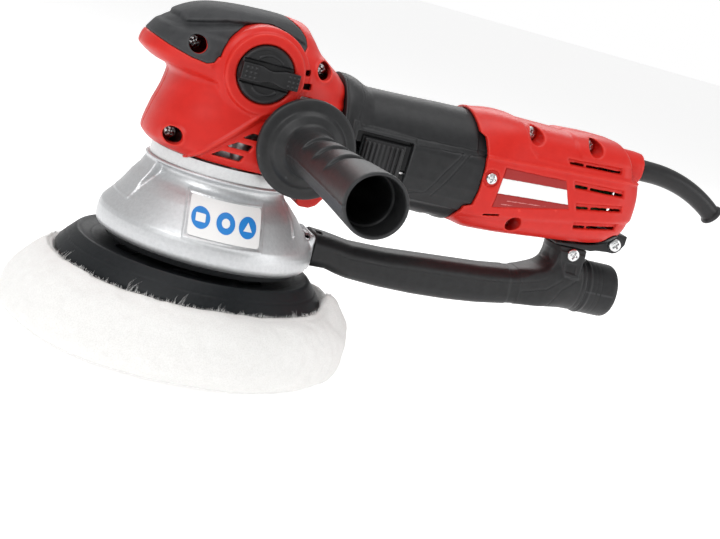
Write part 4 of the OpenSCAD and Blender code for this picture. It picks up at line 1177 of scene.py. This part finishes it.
def screw_piece(name, head_r, length, places):
    """Pan head screws along Y with ringed shanks, all in one piece."""
    points, faces = screw_head(head_r)
    pitch, sides = 1.5, 20
    thread = [(0, 0.5)]
    for k in range(int((length - 1) / pitch)):
        thread += [(1.62, 0.6 + k * pitch), (2.0, 0.6 + (k + 0.5) * pitch)]
    thread += [(1.5, length - 0.6), (0.9, length), (0, length)]
    faces += (ring_quads(len(thread), sides) + len(points)).tolist()
    points = np.vstack([points, turned(thread, (0, 0, 0), "y", sides).reshape(-1, 3)])
    every, all_faces = [], []
    for n, (x, z, depth) in enumerate(places):
        turn = math.radians(31 * n + 12)
        spin = np.array([[math.cos(turn), 0, math.sin(turn)], [0, 1, 0],
                         [-math.sin(turn), 0, math.cos(turn)]])
        all_faces += [[v + n * len(points) for v in face] for face in faces]
        every.append(points @ spin.T + (x, -depth, z))
    return new_object(name, np.vstack(every) * MM, all_faces)


def build_screws():
    """The screws by head radius, length, places and the CAD nodes they stand for."""
    for name, radius, length, places, *nodes in (
            ("head_screw_set", 3.9, 35, HEAD_SCREWS, "head_screws"),
            ("tail_screw_set", 3.9, 32.8, TAIL_SCREWS, "tail_screws"),
            ("brush_cover_screw", 3.3, 4.5, [BRUSH_SCREW]),
            ("clamp_screw_pair", 4.0, 22, CLAMP_SCREWS, "clamp_screws")):
        piece = screw_piece(name, radius, length, places)
        dress(piece, "housing", FINISHES["zinc_screw"], "zinc_screw", *nodes)


build_screws()


# ---------- cord sleeve and speed dial ----------

def tube_object(name, centres, ups, radii):
    """A closed tube in the XZ plane, through rings that each have their own radius."""
    sides = 44
    a = np.linspace(0, 2 * math.pi, sides, endpoint=False)
    rings = np.array([centre + radius * (np.outer(np.cos(a), up) + np.outer(np.sin(a), (0, 1, 0)))
                      for centre, up, radius in zip(centres, ups, radii)])
    outward = ring_quads(len(rings), sides, closed=True)[:, [0, 3, 2, 1]]
    return new_object(name, rings.reshape(-1, 3) * MM, outward.tolist())


def build_sleeve():
    """The rubber sleeve droops, tapers and ends in a rolled rim round its empty bore."""
    start, bend_x, bend_r, droop = 232, 256, 86, math.radians(34)

    def place(s):
        if s <= bend_x - start:
            return np.array([start + s, 0, SLEEVE_Z]), np.array([0, 0, 1.0])
        turn = min((s - bend_x + start) / bend_r, droop)
        extra = max(s - (bend_x - start) - bend_r * droop, 0)
        up = np.array([math.sin(turn), 0, math.cos(turn)])
        along = np.array([math.cos(turn), 0, -math.sin(turn)])
        return np.array([bend_x, 0, SLEEVE_Z - bend_r]) + bend_r * up + extra * along, up

    end = bend_x - start + bend_r * droop + 3
    outside = [(0, 6.15), (15.4, 6.15), (15.5, 6.2), (16.5, 6.45)]
    outside += [(s, 6.45 - 0.75 * (s - 16.5) / (end - 20)) for s in np.linspace(20, end - 4.2, 26)]
    outside += [(end - 3.4, 5.75), (end - 2.7, 6.0), (end - 2.1, 6.55), (end - 1.4, 6.95),
                (end - 0.7, 6.95), (end - 0.2, 6.6), (end, 6.1), (end, 5.2), (end - 0.3, 4.5),
                (end - 1.0, 4.0), (end - 2, 3.75)]
    inside = [(s, 3.7) for s in np.linspace(end - 5, 0, 20)]
    path = [place(s) for s, _ in outside + inside]
    sleeve = tube_object("cord_sleeve_moulding", [p[0] for p in path], [p[1] for p in path],
                         [r for _, r in outside + inside])
    dress(sleeve, "housing", FINISHES["knob_plastic"], "black_plastic", "cord_sleeve")


def build_dial():
    """A thumb wheel with a finely ribbed rim and plain index marks on its face."""
    low, high = node_box("speed_dial")
    block = Block((low[0] - 1, low[1] - 1, low[2] - 1), (high[0] + 1, high[1] + 1, high[2] + 1), 0.3)
    x, z = DIAL_X, DIAL_Z
    depth = (high[1] - low[1]) / 2
    across = block.y - (low[1] + high[1]) / 2
    radius = np.hypot(block.x - x, block.z - z)
    angle = np.arctan2(block.z - z, block.x - x)
    rim = 11.75 + 0.28 * np.cos(angle * 40)
    field = meet(radius - rim, np.abs(across) - depth + 0.1, 0.8)
    field = cut(field, overlap(np.abs(radius - 7.5) - 2, depth - 0.9 - np.abs(across)), 0.4)
    mark = overlap(np.abs(np.mod(angle, math.pi / 3) - math.pi / 6) * radius - 0.35,
                   np.abs(radius - 10) - 0.9)
    field = cut(field, overlap(mark, depth - 0.5 - across), 0.2)
    field = cut(field, block.rod((x, z), "y", 2.05), 0.2)
    cast(block, field, "speed_dial_wheel", "speed_wheel", "dial_plastic", "speed_dial")


build_sleeve()
build_dial()


# ---------- side handle ----------

THUMB_GROOVES = (34, 57, 82)       # distances from the flange


def build_handle():
    """A round, hollow moulding with thumb grooves across its top and a broad flange."""
    block = Block((HANDLE_X - 28, HANDLE_END - 1, HANDLE_Z - 28),
                  (HANDLE_X + 28, HANDLE_FACE + 1, HANDLE_Z + 28), 0.52)
    x, z = block.x - HANDLE_X, block.z - HANDLE_Z
    radius = np.hypot(x, z)
    length = HANDLE_FACE - HANDLE_END
    outside = [(0, 0), (25.9, 0), (26.7, 0.7), (26.7, 3.4), (26.2, 4.3), (25, 4.7), (21.6, 4.9),
               (20.6, 5.3), (19.9, 6.3), (18.6, 8.0), (16.6, 9.2), (14.6, 10.4), (13.5, 12.6), (13.1, 16),
               (12.7, 20), (12.5, 27), (12.7, 40), (12.9, 50), (13.4, 68), (13.9, 85), (14.6, 103),
               (15.2, 118), (15.5, length - 2), (15.4, length - 0.5), (15.0, length), (0, length)]
    field = block.turn([(r, -t) for r, t in outside], (HANDLE_X, HANDLE_FACE, HANDLE_Z), "y")
    along = HANDLE_FACE - block.y
    window = ease((74 - np.abs(np.degrees(np.arctan2(z, x)) - 98)) / 34)
    for place in THUMB_GROOVES:
        ramp = np.clip(1 - (along - place) / 13, 0, 1) * (along >= place)
        edge = ease((along - place + 0.7) / 0.7) * (along < place)
        field = field + 2.0 * window * (ramp ** 1.5 + edge)
    for turn in np.radians((12, 192)):
        line = np.abs(z * math.cos(turn) - x * math.sin(turn)) - 0.35
        field = press(field, overlap(line - 0.4, 9 - radius, 14 - along), -0.22, 0.6)
    bore = block.turn([(0, 2), (4, 2), (4, -30), (9.3, -40), (12.3, -length + 16.1),
                       (13.45, -length + 15.9), (13.6, -length + 1.2), (14.2, -length - 0.2),
                       (14.2, -length - 3), (0, -length - 3)], (HANDLE_X, HANDLE_FACE, HANDLE_Z), "y")
    field = cut(field, bore, 0.35)
    for k in range(6):
        turn = math.radians(60 * k + 30)
        web = overlap(np.abs(x * math.sin(turn) - z * math.cos(turn)) - 1.0, 8 - radius)
        field = cut(field, overlap(web, along - 1.2), 0.2)
    cast(block, field, "side_handle_moulding", "housing", "handle", "side_handle_grip",
         slot="black_plastic")


# ---------- extraction tube, port and clamp bracket ----------

# Place, underside, top, half width and power of the tube, which is a second handle.
TUBE = [(59.6, 57.2, 78, 14.9, 7), (70, 57.4, 77.2, 14.5, 7), (77.6, 55.6, 76.1, 14.1, 7),
        (84, 54.4, 75.2, 13.8, 7), (105, 53.2, 75.4, 13.2, 7), (125, 53.2, 76.8, 13, 7),
        (147, 54.2, 78.3, 13, 7), (166, 56, 79.6, 13.2, 7), (185, 59, 82, 13.8, 6.4),
        (200, 61.4, 86.2, 14.6, 5), (212, 62.6, 93, 15.4, 3.2), (222, 63, 95, 16, 2.2),
        (230, 63, 95, 16, 2)]
UPRIGHT = [(195, 82), (200, 86), (202.6, 90.4), (203.8, 95), (203.7, 99.8), (203.5, 102.3),
           (225, 102.3), (225, 85)]
LUG = [(207.8, 93), (222.8, 93), (222.8, 104.4), (207.8, 104.4)]
TUBE_WALL = 2.6
BACK_BOW, BELLY_BOW = 5.4, 4.6     # how far the back and belly drop towards the sides


def tube_levels(block):
    """The heights of the tube's belly and back, and how much they round off at the sides."""
    place, low, high, half, _ = np.array(TUBE).T
    low, high, half = (np.interp(block.x, place, v) for v in (low, high, half))
    return low, high, (np.abs(block.y) / half) ** 3 * (1 - ease((block.x - 186) / 22))


def tube_form(block, low, high, bow):
    """The tube with its crowned back and the upright at its rear, still solid."""
    field = block.solid(cross_rings(TUBE))
    field = meet(field, block.z - high + BACK_BOW * bow, 0.7)
    field = meet(field, low + BELLY_BOW * bow - block.z, 2.4)
    back = 5.4 * (np.abs(block.y) / 12.5) ** 2
    upright = meet(outline(block.x - back * ease((216 - block.x) / 12), block.z, UPRIGHT),
                   np.abs(block.y) - 12.5, 1.0)
    return join(field, upright, 2.6)


def tube_relief(block, field, high):
    """The shoulder line, the rear rib with its channel, the inset, the band and the creases."""
    near = np.abs(block.y) - 8
    shoulder = overlap(np.abs(block.z - high + 7.2) - 0.4, -near, block.x - 205)
    field = press(field, overlap(shoulder, 72 - block.x), 0.3, 0.4)
    rib = block.side([(207.4, 100), (209, 93), (213.6, 84.6), (224, 84.2), (225, 92), (225, 100)])
    field = press(field, overlap(rib, -near), -0.8, 0.9)
    channel = block.side([(212.9, 93), (213.6, 87.4), (221, 87), (221.2, 93)])
    field = press(field, overlap(channel, -near), 0.7, 0.6)
    inset = overlap(block.box((190, -9.6, 91.4), (206, 9.6, 99)), block.x - 208)
    field = press(field, inset, 0.8, 0.8)
    band = block.side([(181, 86), (187.8, 86), (190.2, 55), (184.2, 55)])
    field = press(field, band, 0.35, 0.5)
    for line in ([(190.5, 70.6), (205.5, 75), (214, 82.4)], [(209.3, 64), (214.8, 76.6), (222, 83.6)]):
        field = press(field, overlap(block.side(line, closed=False) - 0.5, -near), 0.4, 0.5)
    return field


def build_tube():
    """A hollow handle with a crowned back, a flat belly and an upright at its rear."""
    block = Block((58, -18, 50), (233, 18, 104), 0.55)
    low, high, bow = tube_levels(block)
    field = tube_relief(block, tube_form(block, low, high, bow), high)
    notch = block.box((61.4, -6.6, 73), (65.4, -1.2, 79), 0.8)
    field = carve(field, notch, 1.4, 0.3)
    slot = overlap(block.side(LUG), np.abs(block.y) - 9.2, 96 - block.z)
    field = cut(field, slot, 0.3)
    inner = [(x, z0 + TUBE_WALL, z1 - TUBE_WALL, w - TUBE_WALL, p) for x, z0, z1, w, p in TUBE]
    inner = block.solid(cross_rings([(55, *inner[0][1:])] + inner[:-1] + [(235, *inner[-1][1:])]))
    inner = meet(inner, block.z - high + TUBE_WALL + BACK_BOW * bow, 1.0)
    inner = meet(inner, low + TUBE_WALL + BELLY_BOW * bow - block.z, 1.0)
    field = cut(field, inner, 0.4)
    field = cut(field, block.rod(CLAMP_SCREWS[0][:2], "y", PILOT_R), 0.2)
    field = press(field, np.abs(block.x - 227.4) - 0.5, 0.45, 0.45)
    cast(block, field, "extraction_tube_moulding", "housing", "handle", "extraction_tube",
         slot="black_plastic")


def build_port():
    """The hose port, a plain sleeve with a stepped lip where it meets the tube."""
    block = Block((228.5, -18, PORT_Z - 18), (256, 18, PORT_Z + 18), 0.5)
    profile = [(13.5, 230), (16, 230), (16, 231.8), (16.5, 232.4), (16.5, 233), (16, 233.6),
               (16, PORT_END - 3), (15.8, PORT_END - 1.4), (15.3, PORT_END - 0.4), (14.8, PORT_END),
               (13.9, PORT_END - 0.2), (13.5, PORT_END - 0.8)]
    field = block.turn(profile, (0, 0, PORT_Z), "x", closed=True)
    for x in (237.5, 240.5):
        hoop = np.abs(block.x - x) - 0.35
        inner = 15 - np.hypot(block.y, block.z - PORT_Z)
        field = press(field, overlap(hoop - 0.2, inner), 0.12, 0.5)
    cast(block, field, "hose_port_moulding", "housing", "black_plastic", "hose_port")


def build_bracket():
    """The clip that hugs the tail's underside and holds the tube's upright."""
    block = Block((202, -26, 94), (250, 26, 119), 0.42)
    outer = block.solid(cross_rings(TAIL))
    field = block.side([(203.5, 102.7), (227, 102.7), (230, 103.7), (241, 104.7), (245.5, 107.3),
                        (247.7, 111), (247.7, 116.3), (238, 116.3), (203.5, 106.5)])
    field = overlap(meet(field, np.abs(block.y) - 12.9, 1.0), 0.12 - outer)
    corner = block.side([(x + (0.4 if x < 240 else 0), z - 0.4) for x, z in NOTCH])
    corner = meet(meet(corner, outer + 0.55, 0.5), block.x - 247.6, 0.5)
    field = join(field, overlap(corner, 100 - block.z), 0.8)
    tongue = block.box((208.1, -8.9, 96.3), (222.5, 8.9, 105), 0.6)
    field = join(field, overlap(tongue, 0.12 - outer), 0.5)
    x, z, depth = CLAMP_SCREWS[1]
    seat = meet(block.rod((x, z), "y", 5.4), np.abs(block.y) - depth - 0.1, 0.5)
    field = join(field, seat, 0.6)
    for x, z, depth in CLAMP_SCREWS:
        field = cut(field, block.rod((x, z), "y", 4.1, high=-depth), 0.2)
        field = cut(field, block.rod((x, z), "y", PILOT_R), 0.2)
    window = block.box((211, -6, 103.2), (221, 6, 104.6), 0.5)
    field = cut(field, window, 0.3)
    cast(block, field, "clamp_bracket_moulding", "housing", "black_plastic", "clamp_bracket")


build_handle()
build_tube()
build_port()
build_bracket()


# ---------- backing pad ----------

DUST_HOLES = 7
DUST_RING_R = 44


def build_pad():
    """The dished polyurethane pad with its round skirt and oval dust holes."""
    block = Block((PAD_X - 77, -77, 34), (PAD_X + 77, 77, 53), 0.6)
    profile = [(4.2, 39), (12, 39), (12, 36), (70, 36), (73.6, 37.2), (74.9, 38.4), (75, 39.8),
               (74.3, 41.4), (71.3, 45.2), (68.4, 48.4), (66.4, 50.6), (65.7, 51.2), (64.9, 51.4),
               (64.1, 51.2), (63, 50.6), (61, 50), (58, 49.4), (54, 48.8), (46, 48.4), (30, 48.6),
               (24, 49.2), (21.6, 50.4), (21, 51.4), (20.4, PAD_TOP), (4.2, PAD_TOP)]
    field = block.turn(profile, (PAD_X, 0, 0), "z", closed=True)
    x = block.x - PAD_X
    for k in range(DUST_HOLES):
        turn = math.radians(100 + k * 360 / DUST_HOLES)
        u = x * math.cos(turn) + block.y * math.sin(turn) - DUST_RING_R
        v = np.abs(block.y * math.cos(turn) - x * math.sin(turn))
        hole = np.hypot(u, np.maximum(v - 3, 0)) - 4
        field = press(field, overlap(hole - 1.3, 45 - block.z), -0.5, 0.9)
        field = cut(field, hole, 0.5)
    for radius, depth in ((70.4, 0.25), (57, 0.3), (30, 0.4)):
        line = np.abs(np.hypot(x, block.y) - radius) - 0.5
        field = press(field, overlap(line, 44 - block.z), depth, 0.5)
    cast(block, field, "backing_pad_moulding", "pad", "pad_rubber", "backing_plate")


build_pad()


# ---------- wool bonnet ----------

# Radius and height round the bonnet's section, from the middle of its face over the rim and
# down into the pocket. The left side sags outwards, and the right side stands up.
WOOL_POCKET = [(75.6, 37), (73.7, 35.4), (73.4, 30), (73.4, 16.4), (71, 14.5), (40, 14.4), (0, 14.4)]
WOOL_RIGHT = [(0, 0.1), (50, 0.1), (76, 0.1), (83, 0.8), (88.6, 3), (92.6, 7), (94.9, 12.6),
              (95.6, 19), (95.1, 26), (93.2, 32), (90.2, 36.8), (86, 40.4), (81.6, 42),
              (78.2, 41.9), (76.4, 40.6), (75.7, 38.4)] + WOOL_POCKET
WOOL_LEFT = [(0, 0.1), (50, 0.1), (78, 0.1), (89, 0.4), (94.4, 1.8), (97.2, 5), (98.2, 10),
             (97.4, 16), (95.4, 21.4), (92.6, 26.4), (89, 30.8), (85, 34.4), (81.4, 37),
             (78.4, 38.4), (76.5, 38.6), (75.7, 38.0)] + WOOL_POCKET
WOOL_SIDES = 600
RIM_LOCKS = 700
# Loose wisps on the rim: angle in degrees, length and sideways sway.
WISPS = [(-124, 9, 3.5), (-121, 7, -2), (-104, 9, 4), (-88, 5, 3), (-70, 4, -1), (-52, 6, -2),
         (-20, 6, 2), (20, 7, -3), (75, 8, 3), (130, 7, -3), (200, 8, 3)]
LOBE_ANGLE = math.radians(-20)


def smooth_line(points):
    """Rounds the corners of an open line by cutting them."""
    line = np.array(points, float)
    for _ in range(3):
        cuts = [line[:1]]
        for a, b in zip(line[:-1], line[1:]):
            cuts.append(np.array([0.75 * a + 0.25 * b, 0.25 * a + 0.75 * b]))
        line = np.vstack(cuts + [line[-1:]])
    return line


def spaced(line, gaps):
    """The line cut again at distances that grow by the given gaps."""
    run = np.concatenate([[0], np.cumsum(np.hypot(*np.diff(line, axis=0).T))])
    at = np.concatenate([[0], np.cumsum(gaps)])
    at = at[at < run[-1]].tolist() + [run[-1]]
    return [np.interp(v, run, np.arange(len(line))) for v in at]


def wool_height(point):
    """How far the pile stands out at a place: lumps, locks and small curls, in millimetres."""
    lump = noise.noise(point / 24 + Vector((3, 1, 7)))
    lock = noise.noise(point / 7.5 + Vector((11, 5, 2)))
    curl = noise.noise(Vector((point.x, point.y, point.z * 0.6)) / 2.3)
    return 1.6 * lump + 0.7 * lock - 0.5 * abs(lock) + 0.28 * curl


def wool_surface():
    """Points and outward directions over the bonnet, ring by ring."""
    right, left = smooth_line(WOOL_RIGHT), smooth_line(WOOL_LEFT)
    gaps = [9] * 5 + [5] * 5 + [1.0] * 78 + [4] * 40
    index = spaced(right, gaps)
    whole = np.arange(len(right))
    right = np.column_stack([np.interp(index, whole, right[:, k]) for k in (0, 1)])
    left = np.column_stack([np.interp(index, whole, left[:, k]) for k in (0, 1)])
    points = np.zeros((len(index), WOOL_SIDES, 3))
    normals = np.zeros_like(points)
    for k in range(WOOL_SIDES):
        phi = 2 * math.pi * k / WOOL_SIDES
        side = float(ease(0.5 + 0.75 * math.cos(phi - math.radians(165))))
        line = right * (1 - side) + left * side
        slope = np.gradient(line, axis=0)
        out = np.column_stack([slope[:, 1], -slope[:, 0]])
        out /= np.maximum(np.hypot(*out.T), 1e-6)[:, None]
        turn = (phi - LOBE_ANGLE + math.pi) % (2 * math.pi) - math.pi
        lobe = math.exp(-(turn / 0.13) ** 2)
        swell = np.exp(-((line[:, 0] - 81) / 6.5) ** 2 - ((line[:, 1] - 41) / 6) ** 2)
        line = line + (lobe * swell)[:, None] * np.array([-1.5, 8.5])
        lift = 1.5 * math.exp(-((phi - math.radians(215)) / 0.7) ** 2)
        lift -= 2.5 * math.exp(-((phi - math.radians(312)) / 0.6) ** 2)
        line[:, 1] += lift * ease((line[:, 1] - 22) / 14) * ease((line[:, 0] - 76.4) / 3)
        c, s = math.cos(phi), math.sin(phi)
        points[:, k] = np.column_stack([PAD_X + line[:, 0] * c, line[:, 0] * s, line[:, 1]])
        normals[:, k] = np.column_stack([out[:, 0] * c, out[:, 0] * s, out[:, 1]])
    return points, normals


def wool_free(point):
    """One on the outside of the pile, fading to nothing under the face and in the pocket."""
    radius = math.hypot(point[0] - PAD_X, point[1])
    face = min(max((point[2] - 0.5) / 5, 0), 1)
    pocket = min(max((radius - 75.9) / 2.2, 0), 1)
    return face * pocket


def build_wool():
    """The bonnet's pile in one closed mesh. Returns its points, ring by ring."""
    points, normals = wool_surface()
    count, sides = points.shape[:2]
    moved = points.copy()
    for i in range(count):
        for k in range(sides):
            place = Vector(points[i, k])
            free = wool_free(points[i, k])
            if free > 0:
                moved[i, k] += normals[i, k] * free * wool_height(place)
            elif points[i, k, 2] < 3:
                moved[i, k, 2] += 0.25 * (1 + noise.noise(place / 3))
    moved[:, :, 2] = np.maximum(moved[:, :, 2], 0.05)
    faces = ring_quads(count, sides).tolist()
    bonnet = new_object("wool_bonnet_pile", moved.reshape(-1, 3) * MM, faces)
    merge_ends(bonnet)
    dress(bonnet, "pad", FINISHES["wool"], "wool", "wool_bonnet")
    return moved


def merge_ends(obj):
    """Joins the points that share one place, such as those at the axis."""
    mesh = bmesh.new()
    mesh.from_mesh(obj.data)
    bmesh.ops.remove_doubles(mesh, verts=mesh.verts, dist=1e-6)
    bmesh.ops.recalc_face_normals(mesh, faces=mesh.faces)
    mesh.to_mesh(obj.data)
    mesh.free()
    obj.data.polygons.foreach_set("use_smooth", [True] * len(obj.data.polygons))


class Strands:
    """Many thin tapered fibres, each one closed, gathered in one mesh."""

    def __init__(self):
        self.points = []
        self.faces = []

    def add(self, root, lean, tip, radius):
        """A fibre from root to tip that bows through root + lean."""
        along = tip - root
        side = along.cross(Vector((0.3, 0.2, 0.9)))
        side = side.normalized() if side.length > 1e-6 else Vector((1, 0, 0))
        other = along.cross(side).normalized()
        first = len(self.points)
        for centre, size in ((root, 1.0), (root + lean, 0.8)):
            for k in range(3):
                turn = 2.0944 * k
                edge = side * math.cos(turn) + other * math.sin(turn)
                self.points.append(tuple((centre + edge * radius * size) * MM))
        self.points.append(tuple(tip * MM))
        self.faces.append((first + 2, first + 1, first))
        for k in range(3):
            m = (k + 1) % 3
            self.faces.append((first + k, first + m, first + 3 + m, first + 3 + k))
            self.faces.append((first + 3 + k, first + 3 + m, first + 6))


def rim_point(points, phi):
    """The highest place of the pile's inner rim at one angle, just under its surface."""
    column = points[:, int(round(phi / (2 * math.pi) * WOOL_SIDES)) % WOOL_SIDES]
    radius = np.hypot(column[:, 0] - PAD_X, column[:, 1])
    top = np.where(radius < 79.5, column[:, 2], -1).argmax()
    return Vector(column[top]) - Vector((0, 0, 0.4))


def build_fibres(points):
    """Ragged locks along the pile's inner rim, and a few long wisps."""
    draw = random.Random(7)
    strands = Strands()

    def scatter(size):
        return Vector((draw.gauss(0, size), draw.gauss(0, size), draw.gauss(0, size)))

    for lock in range(RIM_LOCKS):
        phi = 2 * math.pi * (lock + draw.random()) / RIM_LOCKS
        outward = Vector((math.cos(phi), math.sin(phi), 0))
        length = draw.uniform(0.9, 2.2) if draw.random() < 0.88 else draw.uniform(2.2, 3.6)
        lean = (outward * -0.38 + Vector((0, 0, 0.9)) + scatter(0.3)).normalized()
        base = rim_point(points, phi)
        for _ in range(5):
            root = base + scatter(0.5)
            reach = length * draw.uniform(0.5, 1.0)
            tip = root + lean * reach + scatter(0.35)
            strands.add(root, lean * reach * 0.5 + scatter(0.2), tip, draw.uniform(0.06, 0.1))
    for degrees, length, sway in WISPS:
        phi = math.radians(degrees)
        outward = Vector((math.cos(phi), math.sin(phi), 0))
        sideways = Vector((-outward.y, outward.x, 0))
        base = rim_point(points, phi)
        for _ in range(6):
            root = base + sideways * draw.gauss(0, 1.4) + scatter(0.2)
            reach = length * draw.uniform(0.35, 1.0)
            tip = root + (outward * -0.46 + Vector((0, 0, 0.86))) * reach
            tip += sideways * sway * (reach / length) ** 2 + scatter(0.8)
            strands.add(root, (tip - root) * 0.5 - sideways * sway * 0.2 + scatter(0.3), tip, 0.075)
    pile = new_object("wool_fibres", strands.points, strands.faces, smooth=True)
    dress(pile, "pad", FINISHES["wool"], "wool")


build_fibres(build_wool())
